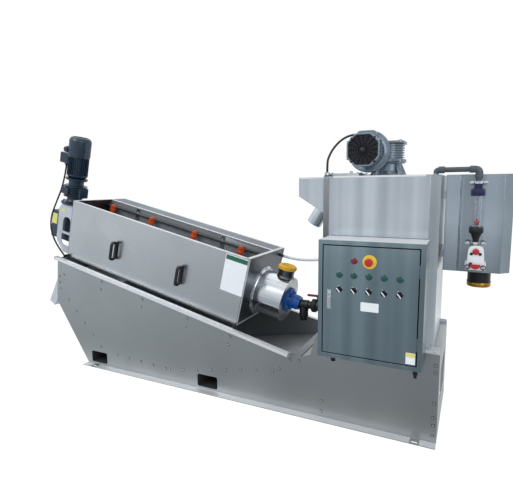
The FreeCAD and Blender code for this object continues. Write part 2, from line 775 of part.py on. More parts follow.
def screw_motor():
    """The upright motor on the gear unit: finned barrel with its terminal box, and the fan cowl."""
    base = "(stand_top + stand_plate + unit_height)"
    bell = cone("drive_radius - bell_inset", "drive_radius", "bell_height", ("motor_x", 0, base))
    barrel = rod("drive_radius - fin_depth", "drive_length - bell_height",
                 ("motor_x", 0, f"{base} + bell_height"))
    terminal = box(("motor_box_start", "-motor_box_width / 2", "motor_box_low"),
                   ("motor_x - cowl_radius - 2", "motor_box_width / 2", "motor_box_low + motor_box_height"))
    neck = box(("motor_x - cowl_radius - 3", "-motor_box_width / 2 + fin_depth", "motor_box_low + fin_depth"),
               ("motor_x - drive_radius + 2 * fin_depth", "motor_box_width / 2 - fin_depth",
                f"{base} + drive_length - fin_depth"))
    fins = []
    for index in range(18):
        fin = bind(doc.addObject("Part::Box", "Fin"), Length="drive_radius", Width="fin_width",
                   Height="drive_length - bell_height - 2 * fin_width")
        fins.append(lean(fin, Vector(0, 0, 1), 20 * index, ("motor_x", 0, f"{base} + bell_height + fin_width")))
    keep("screw_motor", on_slope(fuse(bell, barrel, terminal, neck, *fins)))
    outline = [(0, 0), ("cowl_radius", 0), ("cowl_radius", "cowl_length - cowl_dome"),
               ("cowl_radius - cowl_dome / 3", "cowl_length - cowl_dome / 3"),
               ("cowl_radius - cowl_dome", "cowl_length"), (0, "cowl_length")]
    keep("screw_motor_cowl", on_slope(group(turned(outline, ("motor_x", 0, f"{base} + drive_length")))))


def eight_sided(left, right, half, corner, low, high):
    """An upright block whose four standing edges are chamfered."""
    outline = [(f"{left} + {corner}", f"-({half})"), (f"{right} - {corner}", f"-({half})"),
               (right, f"-({half}) + {corner}"), (right, f"{half} - {corner}"),
               (f"{right} - {corner}", half), (f"{left} + {corner}", half),
               (left, f"{half} - {corner}"), (left, f"-({half}) + {corner}")]
    return place(profile("XY_Plane", outline, f"({high}) - ({low})"), (0, 0, low))


def mixing_tank():
    """The shell of the mixing tank, its lid with a hatch, and the overflow box on its left wall."""
    outer = eight_sided("tank_left", "tank_right", TANK_HALF, "tank_corner", "beam_top", "tank_top - sheet")
    inner = eight_sided("tank_left + sheet", "tank_right - sheet", f"{TANK_HALF} - sheet",
                        "tank_corner - sheet * 0.4", "beam_top + sheet", "tank_top")
    keep("mixing_tank", cut(outer, inner))
    cover = eight_sided("tank_left", "tank_right", TANK_HALF, "tank_corner", "tank_top - sheet", "tank_top")
    hatch = box(("tank_left + hatch_inset", "-hatch_half", "tank_top"),
                ("tank_left + hatch_inset + hatch_length", "hatch_half", "tank_top + hatch_rise"))
    gland = rod("mixer_cable_radius + 7", "gland_height", ("gland_x", "gland_y", "tank_top"))
    keep("mixing_tank_lid", fuse(cover, hatch, gland))


def overflow_box():
    """The overflow box on the tank's left wall, with a sloping floor and a pipe stub square to it."""
    outline = [("tank_left", "tank_top"), ("tank_left - hopper_reach", "tank_top"),
               ("tank_left - hopper_reach", "tank_top - hopper_lip"),
               ("tank_left", "tank_top - hopper_lip - hopper_reach * tan(stub_angle)")]
    block = profile("XZ_Plane", outline, "2 * hopper_half")
    place(block, (0, "hopper_half", 0))
    x = "(tank_left - hopper_reach * 0.42)"
    z = "(tank_top - hopper_lip - hopper_reach * 0.58 * tan(stub_angle))"
    stub = lean(rod("stub_radius", "stub_length", (0, 0, 0)), Vector(0, 1, 0), "180 + stub_angle",
                (x, 0, z))
    bore = lean(rod("stub_radius - stub_wall", "2 * stub_length", (0, 0, 0)), Vector(0, 1, 0),
                "180 + stub_angle", (x, 0, z))
    keep("overflow_box", cut(fuse(block, stub), bore))


def mixer_drive():
    """The worm gearbox on the tank lid, and the motor that points at the viewer."""
    pedestal = rod("pedestal_radius", "pedestal_top - tank_top", ("mixer_x", 0, "tank_top"))
    foot = rod("worm_foot", "worm_flange", ("mixer_x", 0, "tank_top"))
    middle = rod("worm_rim", "worm_flange", ("mixer_x", 0, "pedestal_top"))
    body = rod("worm_radius", "worm_top - pedestal_top", ("mixer_x", 0, "pedestal_top"))
    top = rod("worm_rim", "worm_flange", ("mixer_x", 0, "worm_top - worm_flange"))
    motor_x = "(mixer_x - worm_offset)"
    entry = rod("worm_neck", "worm_entry", (motor_x, "flange_face", "worm_z"), "y")
    keep("mixer_gearbox", fuse(pedestal, foot, middle, body, top, entry))
    disc = rod("flange_radius", "flange_thickness", (motor_x, "flange_face", "worm_z"), "-y")
    barrel = rod("mixer_motor_radius", "mixer_motor_length", (motor_x, "flange_face", "worm_z"), "-y")
    terminal = box((f"{motor_x} - terminal_half", "flange_face - mixer_motor_length", "worm_z + terminal_low"),
                   (f"{motor_x} + terminal_half", "flange_face - flange_thickness", "worm_z + terminal_high"))
    keep("mixer_motor", fuse(disc, barrel, terminal))
    flat = "mixer_cowl_radius * 0.42"
    tall, wide = (("mixer_cowl_radius", flat), (flat, "mixer_cowl_radius"))
    shape = [(f"{a} * ({x})", f"{b} * ({z})")
             for (x, z), a, b in ((tall, 1, -1), (tall, 1, 1), (wide, 1, 1), (wide, -1, 1),
                                  (tall, -1, 1), (tall, -1, -1), (wide, -1, -1), (wide, 1, -1))]
    cowl = profile("XZ_Plane", shape, "mixer_cowl_length")
    keep("mixer_motor_cowl", group(place(cowl, (motor_x, "flange_face - mixer_motor_length", "worm_z"))))


def metering_box():
    """The chamfered box that meters the polymer feed, its outlet coupling, and the brackets that hold it."""
    outer = eight_sided("meter_left", "meter_right", "meter_half", "meter_corner", "meter_low", "tank_top")
    keep("metering_box", group(outer))
    middle = "(meter_left + meter_right) / 2"
    body = rod("coupling_radius", "coupling_length", (middle, 0, "meter_low - coupling_length"))
    bore = rod("coupling_bore", "coupling_length", (middle, 0, "meter_low - coupling_length - 1"))
    keep("metering_outlet", cut(body, bore))
    holders = [box(("tank_right", "-holder_half", z), ("meter_left", "holder_half", f"{z} + holder_width"))
               for z in ("meter_low + 60", "tank_top - 120")]
    for x in ("cabinet_left + 60", "cabinet_left + cabinet_width - 100"):
        holders.append(box((x, CABINET_BACK, "deck_z + 60"),
                           (f"{x} + holder_width", f"-{TANK_HALF}", "cabinet_low + cabinet_height - 60")))
    riser_y = "(-meter_half - riser_out)"
    for z in ("valve_high + 5", "tube_high + 60"):
        holders.append(box(("riser_x - clamp_half", f"{riser_y} + riser_radius", z),
                           ("riser_x + clamp_half", "-meter_half", f"{z} + clamp_height")))
    keep("mounting_brackets", group(*holders))


def flow_meter():
    """The feed pipe down the front of the metering box: clear tube, unions and a valve."""
    y = "(-meter_half - riser_out)"
    glass = rod("tube_radius", "tube_high - tube_low", ("riser_x", y, "tube_low"))
    keep("flow_meter_tube", group(glass))
    upper = rod("union_radius", "upper_union", ("riser_x", y, "tube_high"))
    riser = rod("riser_radius", "pipe_top - tube_high", ("riser_x", y, "tube_high"))
    knee = doc.addObject("Part::Sphere", "Knee")
    place(bind(knee, Radius="elbow_radius"), ("riser_x", y, "pipe_top"))
    across = rod("riser_radius", "riser_x - tank_right + pipe_inset", ("riser_x", y, "pipe_top"), "-x")
    down = rod("riser_radius", "pipe_top - tank_top", ("tank_right - pipe_inset", y, "tank_top"))
    corner = doc.addObject("Part::Sphere", "Corner")
    place(bind(corner, Radius="elbow_radius"), ("tank_right - pipe_inset", y, "pipe_top"))
    keep("dosing_pipe", fuse(upper, riser, knee, across, down, corner))
    lower = rod("union_radius", "lower_union", ("riser_x", y, "tube_low - lower_union"))
    taper_low = "tube_low - lower_union - union_taper"
    taper = cone("riser_radius", "union_radius - 6", "union_taper", ("riser_x", y, taper_low))
    tail = rod("riser_radius", f"{taper_low} - valve_high", ("riser_x", y, "valve_high"))
    keep("lower_union", fuse(lower, taper, tail))
    body = box(("riser_x - valve_half", f"{y} - valve_depth", "valve_low"),
               ("riser_x + valve_half", "-meter_half", "valve_high"))
    keep("dosing_valve", group(body))


def cabinet():
    """The control cabinet: an open shell with a rim, and its door with lamps, knobs and stop button."""
    left, right = "cabinet_left", "(cabinet_left + cabinet_width)"
    low, high = "cabinet_low", "(cabinet_low + cabinet_height)"
    front, back = f"({CABINET_BACK} - cabinet_depth)", CABINET_BACK
    wall = "cabinet_sheet"
    outer = box((left, front, low), (right, back, high))
    inner = box((f"{left} + {wall}", f"{front} + {wall}", f"{low} + {wall}"),
                (f"{right} - {wall}", f"{back} - {wall}", f"{high} - {wall}"))
    mouth = box((f"{left} + rim", f"{front} - 1", f"{low} + rim"),
                (f"{right} - rim", f"{front} + 10", f"{high} - rim"))
    gap = "(rim + door_gap)"
    door_low, door_high = f"{low} + {gap}", f"{high} - {gap}"
    hinges = (f"{door_low} + hinge_inset", f"{door_high} - hinge_inset - hinge_height")
    leaves = [box((f"{right} - {gap} + hinge_pin + running_gap", front, z),
                  (f"{right} - rim + 4", f"{front} + door_fold", f"{z} + hinge_height")) for z in hinges]
    keep("cabinet_body", fuse(cut(outer, inner, mouth), *leaves))
    pins = [rod("hinge_pin", "hinge_height", (f"{right} - {gap}", front, z)) for z in hinges]
    panel = box((f"{left} + {gap}", front, door_low), (f"{right} - {gap}", f"{front} + {wall}", door_high))
    fold_outer = box((f"{left} + {gap}", front, door_low),
                     (f"{right} - {gap}", f"{front} + door_fold", door_high))
    fold_inner = box((f"{left} + {gap} + {wall}", f"{front} - 1", f"{door_low} + {wall}"),
                     (f"{right} - {gap} - {wall}", f"{front} + door_fold + 1", f"{door_high} - {wall}"))
    before = f"{front} - cabinet_sheet"
    holes = [rod("spindle_radius + running_gap", "3 * cabinet_sheet",
                 (f"lamp_first_x + {i} * lamp_pitch", before, "selector_z"), "y") for i in range(5)]
    holes.append(rod("stop_stem + running_gap", "3 * cabinet_sheet", ("stop_x", before, "stop_z"), "y"))
    keep("cabinet_door", cut(fuse(panel, cut(fold_outer, fold_inner), *pins), *holes))
    lamps = [rod("lamp_radius", "lamp_height", (f"lamp_first_x + {index} * lamp_pitch", front, "lamp_z"), "-y")
             for index in range(5)]
    lamps.append(rod("lamp_radius", "lamp_height", ("lamp_first_x + lamp_pitch", front, "stop_z"), "-y"))
    keep("indicator_lamps", group(*lamps))
    lock = box(("lock_x - lock_half", f"{front} - lock_depth", "lock_z - lock_length / 2"),
               ("lock_x + lock_half", front, "lock_z + lock_length / 2"))
    keep("door_lock", group(lock))
    ring = tube("stop_ring", "stop_ring - stop_stem - running_gap", "ring_height",
                ("stop_x", front, "stop_z"), "-y")
    keep("stop_ring", ring)
    stem = rod("stop_stem", "spindle_back + ring_height + stop_travel + 9",
               ("stop_x", f"{front} + spindle_back", "stop_z"), "-y")
    mushroom = rod("stop_radius", "stop_height",
                   ("stop_x", f"{front} - ring_height - stop_travel - 2", "stop_z"), "-y")
    keep("stop_button", fuse(stem, mushroom))
    for index in range(5):
        x = f"lamp_first_x + {index} * lamp_pitch"
        spindle = rod("spindle_radius", "2 * spindle_back", (x, f"{front} + spindle_back", "selector_z"), "-y")
        dial = rod("selector_radius", "dial_height", (x, f"{front} - running_gap", "selector_z"), "-y")
        face = f"{front} - running_gap"
        grip = box((f"{x} - grip_half", f"{face} - grip_height", "selector_z - selector_radius + 1"),
                   (f"{x} + grip_half", f"{face} - dial_height + 1", "selector_z + selector_radius - 1"))
        keep(f"selector_{index + 1}", fuse(spindle, dial, grip))


def swept_cord(name, route, radius):
    """A round cord along straight runs joined by tangent arcs."""
    spots = [Vector(*point) for point in route]
    edges = []
    start = spots[0]
    radii = []
    for before, here, after in zip(spots, spots[1:], spots[2:]):
        into, out = here - before, after - here
        shorter = min(into.Length, out.Length)
        into.normalize()
        out.normalize()
        half = into.getAngle(out) / 2
        bend = 0.45 * shorter / math.tan(half)
        radii.append(round(bend))
        first, last = here - into * (0.45 * shorter), here + out * (0.45 * shorter)
        inward = (out - into).normalize()
        middle = here + inward * (bend / math.cos(half) - bend)
        edges += [Part.LineSegment(start, first).toShape(), Part.Arc(first, middle, last).toShape()]
        start = last
    edges.append(Part.LineSegment(start, spots[-1]).toShape())
    path = Part.Wire(edges)
    ring = Part.Wire([Part.Circle(spots[0], (spots[1] - spots[0]).normalize(), radius).toShape()])
    shape = path.makePipeShell([ring], True, False)
    print(name, "length", round(path.Length), "radii", radii,
          "volume share", round(shape.Volume / (math.pi * radius ** 2 * path.Length), 4))
    cord = doc.addObject("Part::Feature", "Cord")
    cord.Shape = shape
    return keep(name, cord)


def slope_point(along, across, above):
    """The place in the room of a point given in the slope frame."""
    turn = math.radians(value("slope_angle"))
    return (value(SLOPE_X) + along * math.cos(turn) + above * math.sin(turn), across,
            value(SLOPE_Z) - along * math.sin(turn) + above * math.cos(turn))


def cords():
    """The two motor cables and the wash-water hose, each hanging between its own ends."""
    under_box = value("motor_box_start") + 60
    box_low = value("motor_box_low")
    swept_cord("screw_motor_cable",
               [slope_point(under_box, -26, box_low), slope_point(under_box, -26, box_low - 60),
                (-1658, -73, 1294), (-1686, -117, 1175), (-1694, -160, 1082), (-1661, -203, 982),
                (-1606, -211, 868), (-1495, -211, 753), (-1470, -231, 729.5), (-1455, -266, 716),
                (-1455, -value(INNER), 716)],
               value("cable_radius"))
    start = value("mixer_x - worm_offset - terminal_half")
    level = value("worm_z + mixer_motor_radius + 10")
    across = value("flange_face - mixer_motor_length / 2 - 7")
    gland = (value("gland_x"), value("gland_y"), value("tank_top + gland_height"))
    swept_cord("mixer_motor_cable",
               [(start, across, level), (start - 38, across, level), (start - 86, across - 15, level - 25),
                (gland[0] + 17, gland[1] + 42, gland[2] + 127), (gland[0], gland[1] + 12, gland[2] + 75),
                (gland[0], gland[1], gland[2] + 45), gland],
               value("mixer_cable_radius"))
    end = slope_point(value("housing_end + nipple_length"), value("hose_y"), value("header_height"))
    out = slope_point(value("housing_end + 90"), value("hose_y"), value("header_height"))
    swept_cord("wash_hose",
               [end, out, (out[0] + 120, out[1], value("hose_end_z") - 18),
                (value("tank_left") - 120, out[1], value("hose_end_z")),
                (value("tank_left"), out[1], value("hose_end_z"))],
               value("hose_radius"))


def all_parts():
    side_plate("front_side_plate", -1)
    side_plate("rear_side_plate", 1)
    frame_end_plate()
    discharge_end_plate()
    cross_members()
    filtrate_trough()
    cake_chute()
    housing_covers()
    housing_ends()
    splash_guard()
    spray_header()
    drum()
    cover_handles()
    inlet_chamber()
    blue_coupling()
    sludge_pipe()
    drive_stand()
    screw_gearbox()
    screw_motor()
    mixing_tank()
    overflow_box()
    mixer_drive()
    metering_box()
    flow_meter()
    cabinet()
    cords()


def write_parts():
    """Check every object, then write one file for each sub-part."""
    doc.recompute()
    for thing in doc.Objects:
        if "Invalid" in thing.State or "Error" in thing.State:
            raise RuntimeError(f"{thing.Name} ({thing.Label}) failed: {thing.State}")
    os.makedirs("parts", exist_ok=True)
    for name, piece in parts.items():
        shape = piece.Shape
        if shape.isNull() or not shape.isValid() or not shape.Solids:
            raise RuntimeError(f"{name} has no valid solid")
        shape.exportStep(f"parts/{name}.step")
        limits = shape.BoundBox
        print(f"{name}: {len(shape.Solids)} solids, {shape.Volume / 1e6:.3f} l, "
              f"x {limits.XMin:.0f} to {limits.XMax:.0f}, y {limits.YMin:.0f} to {limits.YMax:.0f}, "
              f"z {limits.ZMin:.0f} to {limits.ZMax:.0f}")


all_parts()
write_parts()
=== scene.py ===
"""Sludge dewatering screw press, dressed for the render.

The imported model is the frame: thin sheets keep its shape with softened edges, and motors, handles, pipework,
cabinet fittings and fasteners are built here. Lengths below are in millimetres, and MM turns them to metres.
"""

import json
import math

import bmesh
import bpy
from mathutils import Matrix, Vector


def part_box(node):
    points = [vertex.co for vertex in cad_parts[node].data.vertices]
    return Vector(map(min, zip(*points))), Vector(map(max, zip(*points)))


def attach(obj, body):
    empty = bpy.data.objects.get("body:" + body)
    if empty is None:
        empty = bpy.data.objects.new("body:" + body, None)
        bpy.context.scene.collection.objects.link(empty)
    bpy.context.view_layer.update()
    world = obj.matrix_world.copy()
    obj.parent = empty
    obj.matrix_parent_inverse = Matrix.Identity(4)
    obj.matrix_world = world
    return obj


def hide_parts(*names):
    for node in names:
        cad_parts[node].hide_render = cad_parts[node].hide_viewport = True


MM = 0.001
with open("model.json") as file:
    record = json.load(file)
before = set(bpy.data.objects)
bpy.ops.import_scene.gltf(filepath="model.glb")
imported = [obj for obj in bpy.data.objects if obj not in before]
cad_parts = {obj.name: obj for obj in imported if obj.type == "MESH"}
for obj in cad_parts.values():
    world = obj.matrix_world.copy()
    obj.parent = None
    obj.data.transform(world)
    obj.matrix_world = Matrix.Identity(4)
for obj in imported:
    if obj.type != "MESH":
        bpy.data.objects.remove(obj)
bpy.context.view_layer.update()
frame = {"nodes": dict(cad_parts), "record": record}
body_of_node = {node: body for body, nodes in frame["record"]["behaviour"]["bodies"].items() for node in nodes}

# The slope frame: x runs down the slope from its high end, z stands square to it.
SLOPE_ANGLE = math.radians(13.2)
SLOPE_HEAD = Vector((-1467, 0, 345 + (425 + 1467) * math.tan(SLOPE_ANGLE)))
SLOPE = Matrix.Translation(SLOPE_HEAD) @ Matrix.Rotation(SLOPE_ANGLE, 4, "Y")
LEVEL = Matrix.Identity(4)
HALF_FRAME = 310
HALF_HOUSING = 268
DRUM_AXIS = 190


# Materials

def linear(code):
    """An sRGB hex value as linear colour."""
    channels = [int(code[i:i + 2], 16) / 255 for i in (1, 3, 5)]
    return tuple(c / 12.92 if c <= 0.04045 else ((c + 0.055) / 1.055) ** 2.4 for c in channels) + (1,)


def add(tree, kind, inputs=None, **settings):
    """Add a node with its settings; an input is a value or another node's output."""
    node = tree.nodes.new("ShaderNode" + kind)
    for name, value in settings.items():
        setattr(node, name, value)
    for name, value in (inputs or {}).items():
        if isinstance(value, bpy.types.NodeSocket):
            tree.links.new(value, node.inputs[name])
        else:
            node.inputs[name].default_value = value
    return node


def new_material(name, **constants):
    """A material with one Principled shader, whose constants sit on its own sockets."""
    material = bpy.data.materials.new(name)
    material.use_nodes = True
    tree = material.node_tree
    tree.nodes.clear()
    shader = add(tree, "BsdfPrincipled", {key.replace("_", " "): value for key, value in constants.items()})
    output = add(tree, "OutputMaterial", {"Surface": shader.outputs["BSDF"]})
    material.diffuse_color = shader.inputs["Base Color"].default_value
    return material, tree, shader, output


def brushed_stainless(name, pale, dark, roughness, along="X", tilt=0.0, cloud=260, streak=3.0, metallic=1.0, bands=0):
    """Cold-rolled stainless with a fine brushed grain: satin, with soft cloudy handling marks."""
    material, tree, shader, _ = new_material(name, Metallic=metallic)
    place = add(tree, "TexCoord").outputs["Object"]
    turned = add(tree, "Mapping", {"Vector": place, "Rotation": (0, -tilt, 0)})
    # The real grain is about 0.1 mm wide; it is drawn a few millimetres wide so that it shows.
    fine, long = 1 / (streak * MM), 1 / (180 * MM)
    scale = {"X": (long, fine, fine), "Z": (fine, fine, long)}[along]
    stretched = add(tree, "Mapping", {"Vector": turned.outputs["Vector"], "Scale": scale})
    grain = add(tree, "TexNoise", {"Vector": stretched.outputs["Vector"], "Scale": 1.0, "Detail": 3.0})
    clouds = add(tree, "TexNoise", {"Vector": place, "Scale": 1 / (cloud * MM), "Detail": 4.0, "Roughness": 0.55})
    rough = add(tree, "MapRange", {"Value": grain.outputs["Fac"], "From Min": 0.3, "From Max": 0.7,
                                   "To Min": roughness - 0.01, "To Max": roughness + 0.015})
    haze = add(tree, "MapRange", {"Value": clouds.outputs["Fac"], "From Min": 0.3, "From Max": 0.7,
                                  "To Min": -0.03, "To Max": 0.05})
    total = add(tree, "Math", {0: rough.outputs["Result"], 1: haze.outputs["Result"]}, operation="ADD")
    tone = add(tree, "MixRGB", {"Fac": clouds.outputs["Fac"], "Color1": linear(pale), "Color2": linear(dark)})
    bump = add(tree, "Bump", {"Height": grain.outputs["Fac"], "Strength": 0.02, "Distance": 0.1 * MM})
    if bands:
        # Soft upright bands of lighter and darker tone, each about as wide as bands in millimetres: painted reflection
        # bands on upright sheets.
        reflection_band_noise = add(tree, "TexNoise", {"W": add(tree, "SeparateXYZ", {"Vector": place}).outputs["X"],
                                      "Scale": 1 / (bands * MM), "Detail": 1.5}, noise_dimensions="1D")
        painted_reflection_bands = add(tree, "MapRange", {"Value": reflection_band_noise.outputs["Fac"], "From Min": 0.35, "From Max": 0.65,
                                      "To Min": 0.82, "To Max": 1.14})
        tone = add(tree, "MixRGB", {"Fac": 1.0, "Color1": tone.outputs["Color"], "Color2": painted_reflection_bands.outputs["Result"]},
                   blend_type="MULTIPLY")
    tree.links.new(tone.outputs["Color"], shader.inputs["Base Color"])
    tree.links.new(total.outputs["Value"], shader.inputs["Roughness"])
    tree.links.new(bump.outputs["Normal"], shader.inputs["Normal"])
    return material


def painted_casting(name, pale, dark, roughness, grit=2.5, metallic=0.0):
    """Spray paint on cast metal: even gloss over a slightly pitted skin, darker where dirt settles."""
    material, tree, shader, _ = new_material(name, Metallic=metallic, Coat_Weight=0.15)
    place = add(tree, "TexCoord").outputs["Object"]
    pits = add(tree, "TexNoise", {"Vector": place, "Scale": 1 / (grit * MM), "Detail": 3.0})
    dirt = add(tree, "TexNoise", {"Vector": place, "Scale": 1 / (45 * MM), "Detail": 4.0})
    tone = add(tree, "MixRGB", {"Fac": dirt.outputs["Fac"], "Color1": linear(pale), "Color2": linear(dark)})
    rough = add(tree, "MapRange", {"Value": dirt.outputs["Fac"], "To Min": roughness - 0.08,
                                   "To Max": roughness + 0.08})
    bump = add(tree, "Bump", {"Height": pits.outputs["Fac"], "Strength": 0.35, "Distance": 0.3 * MM})
    tree.links.new(tone.outputs["Color"], shader.inputs["Base Color"])
    tree.links.new(rough.outputs["Result"], shader.inputs["Roughness"])
    tree.links.new(bump.outputs["Normal"], shader.inputs["Normal"])
    return material


def moulded_plastic(name, colour, deep, roughness, grain=1.6, strength=0.15):
    """Injection-moulded plastic: one dyed colour with a faint moulded grain."""
    material, tree, shader, _ = new_material(name, IOR=1.49)
    place = add(tree, "TexCoord").outputs["Object"]
    skin = add(tree, "TexNoise", {"Vector": place, "Scale": 1 / (grain * MM), "Detail": 2.0})
    flow = add(tree, "TexNoise", {"Vector": place, "Scale": 1 / (30 * MM), "Detail": 2.0})
    tone = add(tree, "MixRGB", {"Fac": flow.outputs["Fac"], "Color1": linear(colour), "Color2": linear(deep)})
    rough = add(tree, "MapRange", {"Value": skin.outputs["Fac"], "To Min": roughness - 0.05,
                                   "To Max": roughness + 0.07})
    bump = add(tree, "Bump", {"Height": skin.outputs["Fac"], "Strength": strength, "Distance": 0.1 * MM})
    tree.links.new(tone.outputs["Color"], shader.inputs["Base Color"])
    tree.links.new(rough.outputs["Result"], shader.inputs["Roughness"])
    tree.links.new(bump.outputs["Normal"], shader.inputs["Normal"])
    return material


def cast_acrylic(name, colour, roughness, transmission):
    """Clear or tinted acrylic: glossy, with faint draw lines that bend the light."""
    material, tree, shader, _ = new_material(name, IOR=1.49, Transmission_Weight=transmission)
    place = add(tree, "TexCoord").outputs["Object"]
    waves = add(tree, "TexNoise", {"Vector": place, "Scale": 1 / (12 * MM), "Detail": 1.0})
    tone = add(tree, "MixRGB", {"Fac": waves.outputs["Fac"], "Color1": linear(colour), "Color2": linear("#ffffff")})
    rough = add(tree, "MapRange", {"Value": waves.outputs["Fac"], "To Min": roughness, "To Max": roughness + 0.08})
    tree.links.new(tone.outputs["Color"], shader.inputs["Base Color"])
    tree.links.new(rough.outputs["Result"], shader.inputs["Roughness"])
    return material


FRAME_STEEL = brushed_stainless("brushed_stainless_frame", "#b4b7b8", "#a6aaab", 0.34, "X")
COVER_STEEL = brushed_stainless("brushed_stainless_cover", "#c6c9cb", "#b6babd", 0.28, "X", SLOPE_ANGLE)
# Faces that look up, and lips along sheet edges, take a much paler, duller copy of the steel: a painted highlight where
# they catch the room's light, on flanges, rims, brackets and the tops of the tank and the cabinet.
LEDGE_STEEL = brushed_stainless("highlight_stainless_ledges", "#e4e6e8", "#d2d5d8", 0.45, "X", SLOPE_ANGLE, metallic=0.45)
# The rear shelf's beads take a darker, more metallic copy of the steel: painted shade, so that they read as dark
# stripes beside the pale rim strips.
SHELF_STEEL = brushed_stainless("shaded_stainless_shelf_beads", "#8f959b", "#6e747a", 0.38, "X", SLOPE_ANGLE, metallic=0.7)
# Inner faces are water-stained: half their shine is gone, which keeps the inside of the housing readable.
INNER_STEEL = brushed_stainless("stained_stainless_inside", "#a3a7aa", "#7b8084", 0.45, "X", SLOPE_ANGLE, 120,
                                metallic=0.45)
# The end walls and the inspection neck take a much darker copy of the steel: painted shade.
WALL_STEEL = brushed_stainless("shaded_stainless_end_wall", "#666b70", "#53585d", 0.32, "Z", 0.0, 90)
TANK_STEEL = brushed_stainless("brushed_stainless_tank", "#cfd4da", "#bec6cd", 0.22, "Z", streak=2.5, bands=110)
# The cabinet's and the metering box's sheets are tinted blue-green, and like the tank's they carry painted reflection
# bands.
CABINET_STEEL = brushed_stainless("tinted_stainless_cabinet", "#94a5ab", "#82949b", 0.2, "Z", streak=2.0, bands=110)
METER_STEEL = brushed_stainless("tinted_stainless_metering_box", "#b4bcc4", "#94a2ac", 0.22, "Z", streak=2.5, bands=90)
POLISHED_STEEL = brushed_stainless("polished_stainless", "#dcdfe3", "#c9cdd2", 0.16, "X", SLOPE_ANGLE)
BOLT_STEEL = brushed_stainless("turned_stainless_bolts", "#c9ccd0", "#a4a8ac", 0.25, "X", streak=1.0)
# A dark, duller copy of the steel: painted shade inside the fork pockets and on the wash-water pipe under the shelf.
DARK_STEEL = brushed_stainless("shaded_stainless_pockets", "#54585b", "#34383b", 0.5, "X", metallic=0.4)
NAVY_PAINT = painted_casting("navy_painted_casting", "#18344a", "#0c1c28", 0.32)
SILVER_PAINT = painted_casting("silver_painted_aluminium", "#8995a1", "#67737e", 0.34, metallic=0.55)
PALE_PAINT = painted_casting("pale_grey_painted_steel", "#bcc1cb", "#a9afba", 0.45)
BLACK_PLASTIC = moulded_plastic("black_polypropylene", "#0e1012", "#07080a", 0.42)
GRILLE_BLACK = moulded_plastic("black_fan_grille", "#1a1e28", "#0e1118", 0.28)
GREY_PIPE = moulded_plastic("grey_pvc_pipe", "#4d565c", "#3c444a", 0.35)
NAVY_PLASTIC = moulded_plastic("navy_pvc_union", "#171d4a", "#0f1436", 0.35)
ORANGE_PLASTIC = moulded_plastic("orange_nylon_nozzle", "#d9541c", "#b8410f", 0.40)
YELLOW_PLASTIC = moulded_plastic("yellow_polypropylene", "#ecb92c", "#d29c1a", 0.35)
STOP_YELLOW = moulded_plastic("yellow_stop_ring", "#ecc63c", "#dcb02c", 0.35)
BLUE_PLASTIC = moulded_plastic("blue_polypropylene", "#1262bd", "#0b4c9e", 0.30)
RED_PLASTIC = moulded_plastic("red_moulded_plastic", "#c0242c", "#9c1a23", 0.35)
LEVER_RED = moulded_plastic("dark_red_lever", "#86202f", "#641624", 0.40)
LENS_RED = moulded_plastic("red_lamp_lens", "#7c1c30", "#5c1424", 0.18)
LENS_GREEN = moulded_plastic("green_lamp_lens", "#185446", "#103f36", 0.18)
WHITE_PLASTIC = moulded_plastic("white_abs_cover", "#e6e8ea", "#d8dadd", 0.30)
LABEL_FILM = moulded_plastic("white_label_film", "#e6eaed", "#dbe0e4", 0.50, grain=6)
LABEL_GREEN = moulded_plastic("green_label_band", "#15664a", "#10573e", 0.50, grain=6)
LABEL_YELLOW = moulded_plastic("yellow_label_film", "#dcd873", "#cfca62", 0.50, grain=6)
CABLE_RUBBER = moulded_plastic("black_cable_rubber", "#15181d", "#0d0f13", 0.50, grain=3)
HOSE_PVC = moulded_plastic("milky_hose_pvc", "#f2f4f9", "#e4e8f0", 0.30, grain=5)
GASKET_RUBBER = moulded_plastic("black_gasket_rubber", "#181b1e", "#101214", 0.60, grain=3)
CHROME = brushed_stainless("bright_chrome", "#dfe2e5", "#cfd3d7", 0.10, "X")
BRASS = brushed_stainless("turned_brass", "#b98a3c", "#8f6a2c", 0.30, "X")
CLEAR_TUBE = cast_acrylic("clear_acrylic_tube", "#eef4fa", 0.03, 1.0)


# Making and placing pieces

def piece(name, mesh, material, body="machine", replaced=(), matrix=LEVEL, smooth=30):
    """Put a mesh made in millimetres into the room: metres, shaded, with its material, on its body."""
    mesh.transform(Matrix.Scale(MM, 4) @ matrix)
    if matrix.determinant() < 0:
        mesh.flip_normals()
    mesh.materials.append(material)
    thing = bpy.data.objects.new(name, mesh)
    bpy.context.scene.collection.objects.link(thing)
    mesh.shade_smooth()
    mesh.set_sharp_from_angle(angle=math.radians(smooth))
    if replaced:
        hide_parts(*replaced)
    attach(thing, body)
    return thing


def soften(thing, width, segments=2):
    """Round the edges of a piece by a bevel in millimetres, and even out its shading."""
    bevel = thing.modifiers.new("soft_edges", "BEVEL")
    bevel.width = width * MM
    bevel.segments = segments
    bevel.limit_method = "ANGLE"
    bevel.angle_limit = math.radians(40)
    bevel.harden_normals = True
    return thing


def mesh_from(build, *args, **settings):
    """A mesh that a bmesh recipe fills."""
    shape = bmesh.new()
    build(shape, *args, **settings)
    bmesh.ops.recalc_face_normals(shape, faces=shape.faces)
    mesh = bpy.data.meshes.new("form")
    shape.to_mesh(mesh)
    shape.free()
    return mesh


def block(shape, low, high):
    """A box between two corners."""
    size = [h - l for l, h in zip(low, high)]
    middle = [(h + l) / 2 for l, h in zip(low, high)]
    bmesh.ops.create_cube(shape, size=1, matrix=Matrix.Translation(middle) @ Matrix.Diagonal((*size, 1)))


